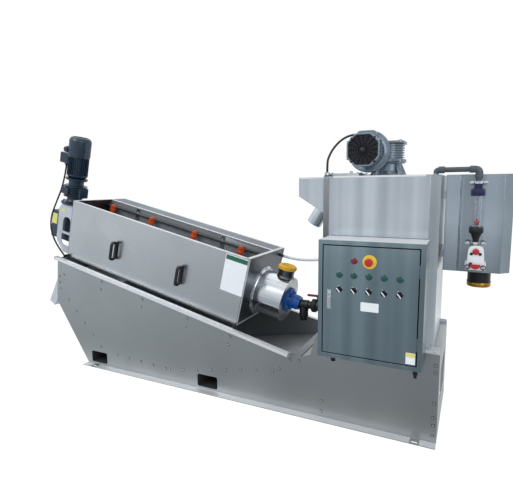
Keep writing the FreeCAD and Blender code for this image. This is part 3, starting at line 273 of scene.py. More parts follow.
def rounded(outline, radius, steps=5):
    """A closed outline whose corners are rounded, each by one radius or by its own."""
    radii = radius if isinstance(radius, (list, tuple)) else [radius] * len(outline)
    points = []
    for index, (here, r) in enumerate(zip(outline, radii)):
        here = Vector(here)
        before, after = Vector(outline[index - 1]) - here, Vector(outline[(index + 1) % len(outline)]) - here
        half = before.angle(after) / 2
        if r <= 0 or half < 0.01:
            points.append(here)
            continue
        reach = min(r / math.tan(half), 0.49 * before.length, 0.49 * after.length)
        first, last = here + before.normalized() * reach, here + after.normalized() * reach
        for step in range(steps + 1):
            t = step / steps
            points.append(first * (1 - t) ** 2 + here * 2 * t * (1 - t) + last * t ** 2)
    return points


def slab(shape, outline, low, high, axis="Y"):
    """A flat outline, given in the two other axes, drawn out along one axis."""
    order = {"X": lambda a, b, c: (c, a, b), "Y": lambda a, b, c: (a, c, b), "Z": lambda a, b, c: (a, b, c)}[axis]
    near = [shape.verts.new(order(x, y, low)) for x, y in outline]
    far = [shape.verts.new(order(x, y, high)) for x, y in outline]
    shape.faces.new(near)
    shape.faces.new(list(reversed(far)))
    for index in range(len(near)):
        after = (index + 1) % len(near)
        shape.faces.new((near[index], near[after], far[after], far[index]))


def frame_slab(shape, outer, inner, low, high, axis="Y"):
    """A flat ring between two outlines with the same number of points, drawn out along one axis."""
    order = {"X": lambda a, b, c: (c, a, b), "Y": lambda a, b, c: (a, c, b), "Z": lambda a, b, c: (a, b, c)}[axis]
    rings = [[shape.verts.new(order(x, y, z)) for x, y in line]
             for line, z in ((outer, low), (inner, low), (inner, high), (outer, high))]
    count = len(outer)
    for ring, following in zip(rings, rings[1:] + rings[:1]):
        for index in range(count):
            after = (index + 1) % count
            shape.faces.new((ring[index], ring[after], following[after], following[index]))


def lathe(shape, section, matrix=LEVEL, around=48):
    """A section of radius and height turned round the z axis; radius 0 closes the end."""
    rings = []
    for radius, height in section:
        if radius < 0.001:
            rings.append([shape.verts.new(matrix @ Vector((0, 0, height)))])
            continue
        rings.append([shape.verts.new(matrix @ Vector((radius * math.cos(2 * math.pi * i / around),
                                                       radius * math.sin(2 * math.pi * i / around), height)))
                      for i in range(around)])
    for lower, upper in zip(rings, rings[1:]):
        for i in range(around):
            j = (i + 1) % around
            corners = [lower[i % len(lower)], lower[j % len(lower)], upper[j % len(upper)], upper[i % len(upper)]]
            unique = list(dict.fromkeys(corners))
            if len(unique) > 2:
                shape.faces.new(unique)


def at(x, y, z, axis="Z"):
    """A place with its z axis along one of the six directions."""
    turn = {"Z": Matrix.Identity(4), "-Z": Matrix.Rotation(math.pi, 4, "X"),
            "X": Matrix.Rotation(math.pi / 2, 4, "Y"), "-X": Matrix.Rotation(-math.pi / 2, 4, "Y"),
            "Y": Matrix.Rotation(-math.pi / 2, 4, "X"), "-Y": Matrix.Rotation(math.pi / 2, 4, "X")}[axis]
    return Matrix.Translation((x, y, z)) @ turn


def hex_bolt(shape, matrix, size=8.0):
    """A hexagon bolt head on its washer; size is half the width across the corners."""
    lathe(shape, [(0, 0), (size * 1.25, 0), (size * 1.25, size * 0.18), (size * 1.05, size * 0.22)], matrix, 20)
    lathe(shape, [(size, size * 0.2), (size, size * 0.72), (size * 0.86, size * 0.84), (0, size * 0.86)], matrix, 6)


def dress(node, material, width=1.0, smooth=30):
    """The node's own form with flat faces joined, soft edges and a real finish."""
    source = frame["nodes"][node]
    shape = bmesh.new()
    shape.from_mesh(source.data)
    bmesh.ops.remove_doubles(shape, verts=shape.verts, dist=0.00001)
    bmesh.ops.dissolve_limit(shape, angle_limit=math.radians(1), verts=shape.verts, edges=shape.edges)
    mesh = bpy.data.meshes.new(node + "_form")
    shape.to_mesh(mesh)
    shape.free()
    mesh.transform(Matrix.Scale(1000, 4))
    thing = piece(node + "_sheet", mesh, material, body_of_node[node], (node,), smooth=smooth)
    return soften(thing, width)


def curve_pipe(name, points, radius, material, body="machine", bend=0.0, replaced=()):
    """A round pipe along straight runs whose corners are swept elbows of one bend radius."""
    spots = [Vector(p) * MM for p in points]
    line = [spots[0]]
    for before, here, after in zip(spots, spots[1:], spots[2:]):
        into, out = (before - here), (after - here)
        reach = min(bend * MM, 0.49 * into.length, 0.49 * out.length)
        first, last = here + into.normalized() * reach, here + out.normalized() * reach
        for step in range(9):
            t = step / 8
            line.append(first * (1 - t) ** 2 + here * 2 * t * (1 - t) + last * t ** 2)
    line.append(spots[-1])
    curve = bpy.data.curves.new(name, "CURVE")
    curve.dimensions = "3D"
    curve.bevel_depth = radius * MM
    curve.bevel_resolution = 6
    curve.use_fill_caps = True
    spline = curve.splines.new("POLY")
    spline.points.add(len(line) - 1)
    for point, spot in zip(spline.points, line):
        point.co = (*spot, 1)
    curve.materials.append(material)
    thing = bpy.data.objects.new(name, curve)
    bpy.context.scene.collection.objects.link(thing)
    if replaced:
        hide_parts(*replaced)
    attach(thing, body)
    return thing


# Base frame and housing

def base_frame():
    for node in ("front_side_plate", "rear_side_plate", "frame_end_plate", "discharge_end_plate",
                 "frame_cross_members"):
        dress(node, FRAME_STEEL, 1.2)
    dress("filtrate_trough", INNER_STEEL, 0.8)
    dress("cake_chute", PALE_PAINT, 0.8)

    # Paper-thin skins of the paler ledge steel on the base flanges' tops: painted highlight.
    def ledges(shape):
        for side in (-1, 1):
            for x0, x1 in ((-1204, -1128), (-1082, 1082), (1128, 1204)):
                block(shape, (x0, side * 338.5 - 26, 4), (x1, side * 338.5 + 26, 4.8))
    soften(piece("base_flange_faces", mesh_from(ledges), LEDGE_STEEL), 0.3)

    # Skins of the paler ledge steel on the sloping flanges' tops and lips: painted highlight.
    def folds(shape):
        head, run = 12, 1930
        for side in (-1, 1):
            block(shape, (head, side * 325 - 14.5, 0), (run, side * 325 + 14.5, 0.8))
            block(shape, (head, side * 340.4 - 0.4, -20), (run, side * 340.4 + 0.4, -1))
    soften(piece("slope_flange_faces", mesh_from(folds), LEDGE_STEEL, matrix=SLOPE), 0.3)

    def pockets(shape):
        for centre in (-1092, -155):
            outer = [(centre - 78, 13), (centre + 78, 13), (centre + 78, 101), (centre - 78, 101)]
            inner = [(centre - 75, 16), (centre + 75, 16), (centre + 75, 98), (centre - 75, 98)]
            frame_slab(shape, outer, inner, -306, 306)
    piece("fork_pockets", mesh_from(pockets), DARK_STEEL)

    def curtain(shape):
        block(shape, (56, -303, -70), (59, 303, 4))
    soften(piece("discharge_curtain", mesh_from(curtain), INNER_STEEL, matrix=SLOPE), 0.6)


def frame_bolts():
    """Bolt heads on both side plates: pairs under the sloping edge, and rows along the trough and the ends."""
    places = []
    for along in (461, 838, 1214, 1538):
        for below in (-57, -113):
            spot = SLOPE @ Vector((along, 0, below))
            places.append((spot.x, spot.z))
    rows = [((-1463, 634), (-1461, 540), 3), ((-1415, 650), (-1415, 650), 1), ((-1381, 460), (-1074, 141), 5),
            ((-915, 105), (-487, 82), 5), ((-451, 84), (-451, 84), 1), ((-341, 101), (305, 218), 7),
            ((346, 234), (346, 234), 1), ((415, 304), (468, 309), 2), ((603, 97), (603, 35), 2),
            ((1187, 409), (1187, 370), 2), ((1187, 212), (1187, 135), 2), ((1187, 95), (1187, 36), 2)]
    for (x0, z0), (x1, z1), count in rows:
        for index in range(count):
            t = index / max(count - 1, 1)
            places.append((x0 + (x1 - x0) * t, z0 + (z1 - z0) * t))

    def heads(shape):
        for x, z in places:
            hex_bolt(shape, at(x, -HALF_FRAME, z, "-Y"), 6)
            hex_bolt(shape, at(x, HALF_FRAME, z, "Y"), 6)
    piece("frame_bolts", mesh_from(heads), BOLT_STEEL)

    # A thin black ring under each bolt head: painted shadow round the head, so that the bolts read as dark dots.
    def washers(shape):
        for x, z in places:
            for side, way in ((-1, "-Y"), (1, "Y")):
                lathe(shape, [(0, 0), (9.5, 0), (9, 0.9), (0, 0.9)], at(x, side * HALF_FRAME, z, way), 20)
    piece("frame_bolt_washers", mesh_from(washers), GASKET_RUBBER)


def deck_brackets():
    """Small plates that hold the tank's foot on the side plates' right end."""
    for side, name in ((-1, "front"), (1, "rear")):
        def plate(shape):
            block(shape, (1118, side * 285 - 22, 465), (1203, side * 285 + 22, 469))
            block(shape, (1118, side * 264 - 2, 465), (1203, side * 264 + 2, 486))
            for x in (1138, 1184):
                hex_bolt(shape, at(x, side * 292, 469), 6.5)
        soften(piece(f"deck_bracket_{name}", mesh_from(plate), LEDGE_STEEL), 0.8)


def housing():
    dress("housing_front_cover", COVER_STEEL, 1.0)
    dress("housing_drive_wall", WALL_STEEL, 1.0)
    dress("housing_rear_cover", INNER_STEEL, 1.0)
    dress("housing_inlet_wall", WALL_STEEL, 1.0)
    dress("splash_guard", INNER_STEEL, 0.8)

    def beads(shape):
        for across in (136, 160, 184, 208, 232):
            section = [(across - 6, 437), (across - 3, 440), (across + 3, 440), (across + 6, 437)]
            slab(shape, section, 66, 1534, "X")
    piece("rear_shelf_beads", mesh_from(beads), SHELF_STEEL, matrix=SLOPE)

    # The top rim's strips take the paler ledge steel: painted highlight on faces that look up.
    def rim(shape):
        slab(shape, [(-268, 437), (-268, 440), (-250, 440), (-250, 437)], 56, 1544, "X")
        slab(shape, [(250, 437), (250, 440), (268, 440), (268, 437)], 56, 1544, "X")
        slab(shape, [(106, 437), (109, 440), (115, 440), (118, 437)], 66, 1534, "X")
        slab(shape, [(56, -268), (56, 268), (72, 268), (72, -268)], 437, 440, "Z")
        slab(shape, [(1524, -268), (1545, -268), (1545, 268), (1524, 268)], 437, 440, "Z")
    soften(piece("housing_top_rim", mesh_from(rim), LEDGE_STEEL, matrix=SLOPE), 0.8)

    # Edge lips on the inlet end wall, in the paler ledge steel: painted highlight along the edges.
    def lips(shape):
        for side in (-1, 1):
            block(shape, (1545, side * 262 - 6, 6), (1548, side * 262 + 6, 436))
        block(shape, (1545, -262, 6), (1548, 262, 14))
    soften(piece("end_wall_lips", mesh_from(lips), LEDGE_STEEL, matrix=SLOPE), 0.8)

    def straps(shape):
        for along in (357, 1142):
            block(shape, (along - 14, 92, 300), (along + 14, 96, 432))
            for above in (330, 400):
                hex_bolt(shape, at(along, 92, above, "-Y"), 5)
    soften(piece("splash_guard_straps", mesh_from(straps), BOLT_STEEL, matrix=SLOPE), 0.6)


def instruction_plate():
    """The place of the instruction plate: a bare white film with a green band."""
    low = -HALF_HOUSING - 1.2
    white = mesh_from(slab, rounded([(1386, 196), (1542, 196), (1542, 430), (1386, 430)], 4), low, -HALF_HOUSING)
    piece("instruction_plate", white, LABEL_FILM, matrix=SLOPE)
    band = mesh_from(slab, [(1390, 398), (1540, 398), (1540, 426), (1390, 426)], low - 0.6, low)
    piece("instruction_plate_band", band, LABEL_GREEN, matrix=SLOPE)


def drive_end_plate():
    """The cross plate under the housing's upper end, between the two side plates."""
    def plate(shape):
        block(shape, (-1440, -303, 560), (-1436, 303, 780))
    piece("drive_end_plate", mesh_from(plate), FRAME_STEEL)


def cover_handles():
    """Moulded bow handles: a thick grip that flows into two feet on a slim base strip."""
    for index, along in enumerate((518, 1085)):
        def bow(shape):
            # The bar on the cover is as thick and as black as the grip: partly the real foot strip, partly a painted
            # reflection of the grip in the cover.
            outer = rounded([(-68, 0), (68, 0), (68, 56), (-68, 56)], [24, 24, 24, 24], 6)
            inner = rounded([(-52, 14), (52, 14), (52, 42), (-52, 42)], [12, 12, 12, 12], 6)
            frame_slab(shape, outer, inner, -9.5, 9.5, "Z")
        turn = Matrix(((0, 0, 1, along), (0, -1, 0, -HALF_HOUSING), (1, 0, 0, DRUM_AXIS), (0, 0, 0, 1)))
        replaced = ("cover_handles",) if index == 0 else ()
        thing = piece(f"cover_handle_{index + 1}", mesh_from(bow), BLACK_PLASTIC, "machine",
                      replaced, SLOPE @ turn)
        soften(thing, 3.5, 4)


def spray_bar():
    """The thin wash-water pipe under the shelf's edge, and four orange nozzles clipped to it."""
    across, above = 77, 396

    def pipe(shape):
        lathe(shape, [(0, 60), (10, 60), (10, 1500), (0, 1500)], at(0, across, above, "X"), 20)
        lathe(shape, [(0, 0), (11, 0), (11, 148), (0, 148)], at(1509, across, 392, "Y"), 20)
        lathe(shape, [(0, 1495), (13, 1495), (13, 1524), (0, 1524)], at(0, across, 392, "X"), 20)
        lathe(shape, [(0, -16), (13, -16), (13, 16), (10, 18), (10, 62), (0, 62)], at(1509, 225, 392, "X"), 20)
    piece("spray_header_pipe", mesh_from(pipe), DARK_STEEL, "machine", ("spray_header",), SLOPE)

    def nozzles(shape):
        for index in range(4):
            x = 130 + 395 * index
            lathe(shape, [(0, -58), (8, -58), (14, -48), (14, -38), (19, -38), (19, -22), (15, -18), (15, -8), (0, -8)],
                  at(x, across - 18, above), 20)
            lathe(shape, [(0, -24), (13, -24), (17, -18), (17, 14), (13, 18), (0, 18)], at(x, across - 8, above, "Y"), 16)
            for side in (-1, 1):
                outline = [(x + side * 14, above - 44), (x + side * 24, above - 36), (x + side * 24, above - 8),
                           (x + side * 14, above + 8)]
                slab(shape, rounded(outline, 3), across - 24, across - 14)
    piece("spray_nozzle_set", mesh_from(nozzles), ORANGE_PLASTIC, "machine", ("spray_nozzles",), SLOPE)


def ring_stack():
    """The drum: fixed and moving rings by turns, on one long inner tube."""
    start, pitch = 130, 12

    def rings(shape):
        count = int((1542 - start) / pitch)
        for index in range(count):
            x = start + index * pitch
            outer = 128 if index % 2 == 0 else 119
            section = [(96, 0), (outer, 0), (outer, 6.5 if index % 2 == 0 else 4), (96, 6.5)]
            lathe(shape, section + section[:1], at(x, 0, DRUM_AXIS, "X"), 40)
        lathe(shape, [(96, 0), (112, 0), (112, 1412), (96, 1412), (96, 0)], at(start, 0, DRUM_AXIS, "X"), 40)
    piece("drum_rings", mesh_from(rings), INNER_STEEL, "machine", ("screw_drum",), SLOPE)
    dress("screw_shaft", BOLT_STEEL, 0.8)


base_frame()
frame_bolts()
deck_brackets()
housing()
instruction_plate()
drive_end_plate()
cover_handles()
spray_bar()
ring_stack()


# Screw drive

def drive_stand():
    """The cast bracket: two cheeks with rounded windows, tied by a top plate."""
    outline = [(-245, 45), (-160, -40), (55, -40), (55, 325), (-245, 325)]
    radii = [60, 50, 0, 0, 26]
    windows = [rounded([(-192, 20), (-104, 20), (-104, 110), (-192, 110)], [58, 6, 8, 12]),
               rounded([(-188, 130), (-104, 130), (-104, 248), (-188, 248)], [10, 10, 40, 40])]
    for side in (-1, 1):
        cheek = piece(f"drive_stand_cheek_{'front' if side < 0 else 'rear'}",
                      mesh_from(slab, rounded(outline, radii), side * 130 - 4, side * 130 + 4), PALE_PAINT,
                      "machine", ("drive_stand",) if side < 0 else (),
                      SLOPE @ Matrix.Translation((0, -4 * side, 0)))
        for opening in windows:
            tool = bpy.data.objects.new("window_tool", mesh_from(slab, opening, side * 130 - 20, side * 130 + 20))
            tool.data.transform(Matrix.Scale(MM, 4) @ SLOPE)
            bpy.context.scene.collection.objects.link(tool)
            hole = cheek.modifiers.new("window", "BOOLEAN")
            hole.object = tool
            hole.operation = "DIFFERENCE"
            hole.solver = "EXACT"
            bake(cheek)
            bpy.data.objects.remove(tool)
        soften(cheek, 1.5)
    top = mesh_from(slab, rounded([(-245, -130), (55, -130), (55, 130), (-245, 130)], [30, 0, 0, 30]), 325, 333, "Z")
    soften(piece("drive_stand_top", top, PALE_PAINT, "machine", (), SLOPE), 1.5)


def bake(thing):
    """Put the piece's modifiers into its mesh."""
    graph = bpy.context.evaluated_depsgraph_get()
    graph.update()
    mesh = bpy.data.meshes.new_from_object(thing.evaluated_get(graph))
    thing.modifiers.clear()
    thing.data = mesh


def screw_gear_unit():
    """The navy right-angle gearbox and the ribbed unit with its bolted flanges."""
    base = 333

    def body(shape):
        block(shape, (-360, -90, 40), (-110, 90, 262))
        lathe(shape, [(0, 262), (88, 262), (88, 288), (0, 288)], at(-230, 0, 0), 40)
        lathe(shape, [(0, 0), (60, 0), (66, 6), (66, 46)], at(-402, 0, 96, "X"), 40)
        lathe(shape, [(0, 0), (88, 0), (88, 166), (0, 166)], at(-111, 0, DRUM_AXIS, "X"), 40)
    soften(piece("gearbox_case", mesh_from(body), NAVY_PAINT, "machine", ("screw_gearbox",), SLOPE), 8, 3)

    def unit(shape):
        section = [(0, 0), (100, 0), (100, 14), (92, 18), (66, 24), (58, 40), (58, 58)]
        for index in range(7):
            z = 60 + 14 * index
            section += [(72, z), (88, z + 2), (88, z + 7), (72, z + 9)]
        section += [(58, 160), (58, 192), (78, 196), (84, 200), (84, 212), (0, 212)]
        lathe(shape, section, at(-230, 0, base))
        block(shape, (-230 + 60, -40, base + 66), (-230 + 98, 40, base + 142))
        block(shape, (-230 - 92, -46, base + 78), (-230 - 60, 30, base + 140))
        block(shape, (-230 - 50, -97, base + 84), (-230 + 22, -60, base + 136))
    soften(piece("gear_unit_ribs", mesh_from(unit), NAVY_PAINT, "machine", (), SLOPE), 1.2)

    def bolts(shape):
        for index in range(8):
            angle = math.radians(22.5 + 45 * index)
            hex_bolt(shape, at(-230 + 88 * math.cos(angle), 88 * math.sin(angle), base + 17), 7.5)
            hex_bolt(shape, at(-230 + 77 * math.cos(angle), 77 * math.sin(angle), base + 200, "-Z"), 5)
    piece("gear_unit_bolts", mesh_from(bolts), NAVY_PAINT, "machine", (), SLOPE)

    label = mesh_from(slab, rounded([(-352, 150), (-300, 150), (-300, 236), (-352, 236)], 3), -91.5, -89)
    piece("gearbox_label_place", label, LABEL_YELLOW, "machine", (), SLOPE)
    small = mesh_from(slab, rounded([(-214, 284), (-178, 284), (-178, 306), (-214, 306)], 3), -131, -129)
    piece("drive_stand_label_place", small, LABEL_YELLOW, "machine", (), SLOPE)


def screw_motor():
    """The finned motor with its terminal box, and the fan cowl with a slotted end."""
    base = 545

    def barrel(shape):
        lathe(shape, [(0, 0), (58, 0), (66, 4), (80, 22), (80, 30), (70, 34), (70, 166), (80, 168), (80, 175), (0, 175)],
              at(-230, 0, base))
        for index in range(32):
            angle = 2 * math.pi * (index + 0.5) / 32
            turn = Matrix.Translation((-230, 0, base)) @ Matrix.Rotation(angle, 4, "Z")
            corners = [turn @ Vector(c) for c in ((68, -1.6, 30), (79.5, -1.2, 30), (79.5, 1.2, 30), (68, 1.6, 30),
                                                  (68, -1.6, 170), (79.5, -1.2, 170), (79.5, 1.2, 170),
                                                  (68, 1.6, 170))]
            v = [shape.verts.new(c) for c in corners]
            for face in ((0, 1, 5, 4), (1, 2, 6, 5), (2, 3, 7, 6), (0, 3, 2, 1), (4, 5, 6, 7)):
                shape.faces.new([v[i] for i in face])
    piece("motor_barrel", mesh_from(barrel), NAVY_PAINT, "machine", ("screw_motor",), SLOPE)

    def terminal(shape):
        slab(shape, rounded([(-42, 645), (42, 645), (42, 729), (-42, 729)], 8), -392, -300, "X")
    soften(piece("motor_terminal_box", mesh_from(terminal), NAVY_PAINT, "machine", (), SLOPE), 3, 3)

    def lid(shape):
        slab(shape, rounded([(-39, 648), (39, 648), (39, 726), (-39, 726)], 7), -395, -392, "X")
        for y in (-30, 30):
            for z in (657, 717):
                hex_bolt(shape, at(-395, y, z, "-X"), 3.5)
        block(shape, (-384, -43, 655), (-308, -41, 719))
        lathe(shape, [(0, 0), (26, 0), (26, 26), (20, 34), (20, 42), (0, 42)], at(-296, -40, 762, "-Y"), 20)
        lathe(shape, [(0, 0), (8, 0), (8, 8), (0, 9)], at(-146, -20, 775, "X"), 8)
        lathe(shape, [(0, -14), (11, -14), (13, -10), (13, -3), (16, 0)], at(-332, -26, 645), 12)
    piece("motor_terminal_lid", mesh_from(lid), NAVY_PAINT, "machine", (), SLOPE)

    def cowl(shape):
        lathe(shape, [(80, 0), (84, 0), (84, 118), (82, 130), (70, 146), (60, 150), (0, 150)],
              at(-230, 0, base + 175))
    piece("motor_fan_cowl", mesh_from(cowl), NAVY_PAINT, "machine", ("screw_motor_cowl",), SLOPE)

    def grille(shape):
        for radius in (12, 22, 32, 42, 52):
            lathe(shape, [(radius, 150), (radius, 152.5), (radius + 4, 152.5), (radius + 4, 150)],
                  at(-230, 0, base + 175), 36)
        for index in range(8):
            angle = math.radians(45 * index + 22.5)
            hex_bolt(shape, at(-230 + 84 * math.cos(angle), 84 * math.sin(angle), base + 190,
                               "Z") @ Matrix.Rotation(angle, 4, "Z") @ Matrix.Rotation(math.pi / 2, 4, "Y"), 3)
    piece("motor_cowl_grille", mesh_from(grille), NAVY_PAINT, "machine", (), SLOPE)


drive_stand()
screw_gear_unit()
screw_motor()


# Sludge inlet

def inlet_chamber():
    """The polished chamber with its welded flange, seam, face plate and inspection neck."""
    axis = DRUM_AXIS - 5

    def shell(shape):
        lathe(shape, [(118, 0), (163, 0), (163, 8), (161, 10), (146, 10), (145, 13), (143, 16), (143, 199), (146, 200),
                      (146, 204), (143, 205)], at(1545, 0, axis, "X"), 72)
        seam = Matrix.Rotation(math.radians(38), 4, "X") @ Matrix.Translation((0, 0, 143))
        place = Matrix.Translation((0, 0, axis)) @ seam
        lathe(shape, [(2, 0), (2, 180), (0, 181)], place @ at(1560, 0, 0, "X"), 8)
    piece("chamber_shell", mesh_from(shell), POLISHED_STEEL, "machine", ("inlet_chamber",), SLOPE)

    def face(shape):
        lathe(shape, [(36, 204.5), (144, 204.5)], at(1545, 0, axis, "X"), 72)
    piece("chamber_face", mesh_from(face), FRAME_STEEL, "machine", (), SLOPE)

    def neck(shape):
        lathe(shape, [(58, 138), (54, 146), (50, 150), (50, 184), (53, 185), (53, 192), (40, 192)],
              at(1695, 0, axis), 48)
    piece("inspection_neck", mesh_from(neck), WALL_STEEL, "machine", (), SLOPE)

    def bolts(shape):
        for index in range(12):
            angle = 2 * math.pi * index / 12
            hex_bolt(shape, at(1555, 154 * math.cos(angle), axis + 154 * math.sin(angle), "X"), 5.5)
    piece("chamber_flange_bolts", mesh_from(bolts), BOLT_STEEL, matrix=SLOPE)

    def cap(shape):
        base = at(1695, 0, axis + 192)
        lathe(shape, [(0, 22), (36, 22), (38, 26), (46, 27), (52, 25), (58, 20), (58, 2), (56, 0), (0, 0)], base, 48)
        for index in range(30):
            turn = base @ Matrix.Rotation(math.radians(12 * index), 4, "Z")
            slab_points = [turn @ Vector(c) for c in ((57, -2.5, 3), (60, 0, 3), (57, 2.5, 3), (57, -2.5, 19),
                                                      (60, 0, 19), (57, 2.5, 19))]
            v = [shape.verts.new(spot) for spot in slab_points]
            for face in ((0, 1, 4, 3), (1, 2, 5, 4), (3, 4, 5), (0, 2, 1)):
                shape.faces.new([v[i] for i in face])
        block(shape, (1695 - 34, -5, axis + 214), (1695 + 34, 5, axis + 219))
    piece("inspection_screw_cap", mesh_from(cap), YELLOW_PLASTIC, "machine", ("inspection_cap",), SLOPE)


def blue_coupling():
    """The blue flanged union on the chamber's face."""
    face = 1750

    def flange(shape):
        lathe(shape, [(25, 0), (79, 0), (79, 13), (76, 17), (52, 18), (50, 30), (50, 34), (47, 36), (47, 66), (44, 69),
                      (44, 82), (25, 82)], at(face, 0, DRUM_AXIS - 3, "X"), 56)
        for index in range(8):
            angle = 2 * math.pi * index / 8
            turn = at(face, 0, DRUM_AXIS - 3, "X") @ Matrix.Rotation(angle, 4, "Z")
            v = [shape.verts.new(turn @ Vector(c)) for c in ((46, -3, 18), (73, -3, 17), (46, -3, 36), (46, 3, 18),
                                                             (73, 3, 17), (46, 3, 36))]
            for rib in ((0, 1, 2), (3, 5, 4), (0, 3, 4, 1), (1, 4, 5, 2)):
                shape.faces.new([v[i] for i in rib])
    piece("blue_flange_union", mesh_from(flange), BLUE_PLASTIC, "machine", ("blue_coupling",), SLOPE)

    def bolts(shape):
        for index in range(8):
            angle = 2 * math.pi * (index + 0.5) / 8
            hex_bolt(shape, at(face + 17, 64 * math.cos(angle), DRUM_AXIS - 3 + 64 * math.sin(angle), "X"), 7)
    piece("blue_flange_bolts", mesh_from(bolts), BOLT_STEEL, matrix=SLOPE)


def feed_pipe():
    """The black feed pipe: short nose, tee with its drain leg, union valve and the run to the tank."""
    nose = SLOPE @ Vector((1770, 0, DRUM_AXIS))
    down = (SLOPE.to_3x3() @ Vector((1, 0, 0))).normalized()
    tee = nose + down * 86
    curve_pipe("feed_pipe_nose", [tuple(nose + down * 55), tuple(tee)], 24.5, BLACK_PLASTIC, replaced=("sludge_pipe",))
    curve_pipe("feed_pipe_run", [tuple(tee), (440, 0, tee.z), (584.8, 0, tee.z)], 24.5, BLACK_PLASTIC)
    curve_pipe("feed_pipe_drain", [tuple(tee + Vector((0, 0, 24))), (tee.x, 0, tee.z - 98)], 22.5, BLACK_PLASTIC)

    def fittings(shape):
        lathe(shape, [(24, -34), (30, -32), (30, 32), (24, 34)], Matrix.Translation(tee) @ at(0, 0, 0, "X"), 32)
        lathe(shape, [(22, -76), (28, -74), (28, -12), (22, 0)], Matrix.Translation(tee), 32)
        lathe(shape, [(0, -100), (25, -99), (25, -84), (22, -82)], Matrix.Translation(tee), 24)
        middle = at(440, 0, tee.z, "X")
        lathe(shape, [(25, 0), (40, 1), (43, 6), (43, 26), (36, 28), (33, 32), (33, 54), (36, 56), (43, 58), (43, 78),
                      (40, 83), (25, 84)], middle, 12)
        lathe(shape, [(12, 20), (12, 55), (15, 55), (15, 57)], at(482, 0, tee.z), 20)
    piece("feed_pipe_fittings", mesh_from(fittings), BLACK_PLASTIC, "machine")

    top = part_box("valve_lever")[0][2] / MM

    def lever(shape):
        lathe(shape, [(0, 0), (15, 0), (15, 11), (12, 13), (0, 13)], at(482, 0, top), 24)
        slab(shape, rounded([(407, -10), (482, -8), (482, 8), (407, 10)], [9, 4, 4, 9]), top, top + 12, "Z")
    soften(piece("feed_valve_lever", mesh_from(lever), LEVER_RED, "valve_lever_body", ("valve_lever",)), 2, 3)


inlet_chamber()
blue_coupling()
feed_pipe()


# Mixing tank, mixer and metering box

def mixing_tank():
    dress("mixing_tank", TANK_STEEL, 1.5)
    dress("mixing_tank_lid", TANK_STEEL, 1.2)
    dress("overflow_box", TANK_STEEL, 1.2)
    dress("mounting_brackets", BOLT_STEEL, 1.0)

    # A thin strip of the paler ledge steel along the tank's and the overflow box's top front edges: painted highlight.
    def lip(shape):
        block(shape, (652, -301.5, 1334), (1104, -300, 1343))
        block(shape, (404.5, -151.2, 1334), (584, -150, 1343))
    soften(piece("tank_top_lip", mesh_from(lip), LEDGE_STEEL), 0.4)

    # A skin of the frame's darker, rougher steel over the tank's corner chamfer: painted shade on that face.
    def corner(shape):
        slab(shape, [(585, -255), (630, -300), (629.7, -300.4), (584.6, -255.3)], 302, 1334, "Z")
    piece("tank_corner_face", mesh_from(corner), FRAME_STEEL)

    def lid_fittings(shape):
        for y in (-200, 0, 200):
            for x in (616, 756):
                hex_bolt(shape, at(x, y, 1359), 6)
        for y in (-250, 250):
            for x in (860, 1000, 1140):
                hex_bolt(shape, at(x, y, 1343), 6)
        for y in (-120, 120):
            lathe(shape, [(8, 0), (8, 12), (5, 14), (0, 14)], at(700, y, 1359), 16)
    piece("lid_fasteners", mesh_from(lid_fittings), BOLT_STEEL)

    def gland(shape):
        lathe(shape, [(0, 0), (17, 0), (17, 5), (13, 7), (13, 15), (11, 22), (0, 22)], at(600, -240, 1343), 12)
    piece("lid_cable_gland", mesh_from(gland), BLACK_PLASTIC)


def mixer_gearbox():
    """The silver worm gearbox: webbed foot, cooling ribs and two square bolted flanges."""
    def case(shape):
        section = [(0, 1343), (100, 1343), (100, 1352), (80, 1356), (70, 1372), (70, 1408), (78, 1418), (92, 1420),
                   (92, 1434), (74, 1436)]
        for index in range(6):
            z = 1442 + 12.5 * index
            section += [(74, z), (85, z + 1), (85, z + 5), (74, z + 6)]
        section += [(74, 1516), (90, 1518), (90, 1530), (0, 1530)]
        lathe(shape, section, at(877, 0, 0), 56)
        for index in range(6):
            turn = at(877, 0, 0) @ Matrix.Rotation(math.radians(60 * index + 15), 4, "Z")
            v = [shape.verts.new(turn @ Vector(c)) for c in ((68, -4, 1352), (97, -4, 1352), (70, -4, 1418),
                                                             (68, 4, 1352), (97, 4, 1352), (70, 4, 1418))]
            for web in ((0, 1, 2), (3, 5, 4), (1, 4, 5, 2)):
                shape.faces.new([v[i] for i in web])
        lathe(shape, [(0, -40), (50, -40), (50, 104), (0, 104)], at(792, 0, 1475, "-Y"), 40)
    piece("mixer_gear_case", mesh_from(case), SILVER_PAINT, "machine", ("mixer_gearbox",))

    def corners(shape):
        for z0, z1 in ((1420, 1434), (1518, 1530)):
            square = [(877 + a * 88, b * 88) for a, b in ((1, 1), (-1, 1), (-1, -1), (1, -1))]
            slab(shape, rounded(square, 26), z0, z1, "Z")
    soften(piece("mixer_gear_flanges", mesh_from(corners), SILVER_PAINT, "machine"), 1.5)

    def bolts(shape):
        for a, b in ((1, 1), (-1, 1), (-1, -1), (1, -1)):
            hex_bolt(shape, at(877 + a * 72, b * 72, 1530), 7)
            hex_bolt(shape, at(877 + a * 72, b * 72, 1420, "-Z"), 7)
            hex_bolt(shape, at(877 + a * 64, b * 64, 1352), 7)
    piece("mixer_gear_bolts", mesh_from(bolts), BOLT_STEEL)


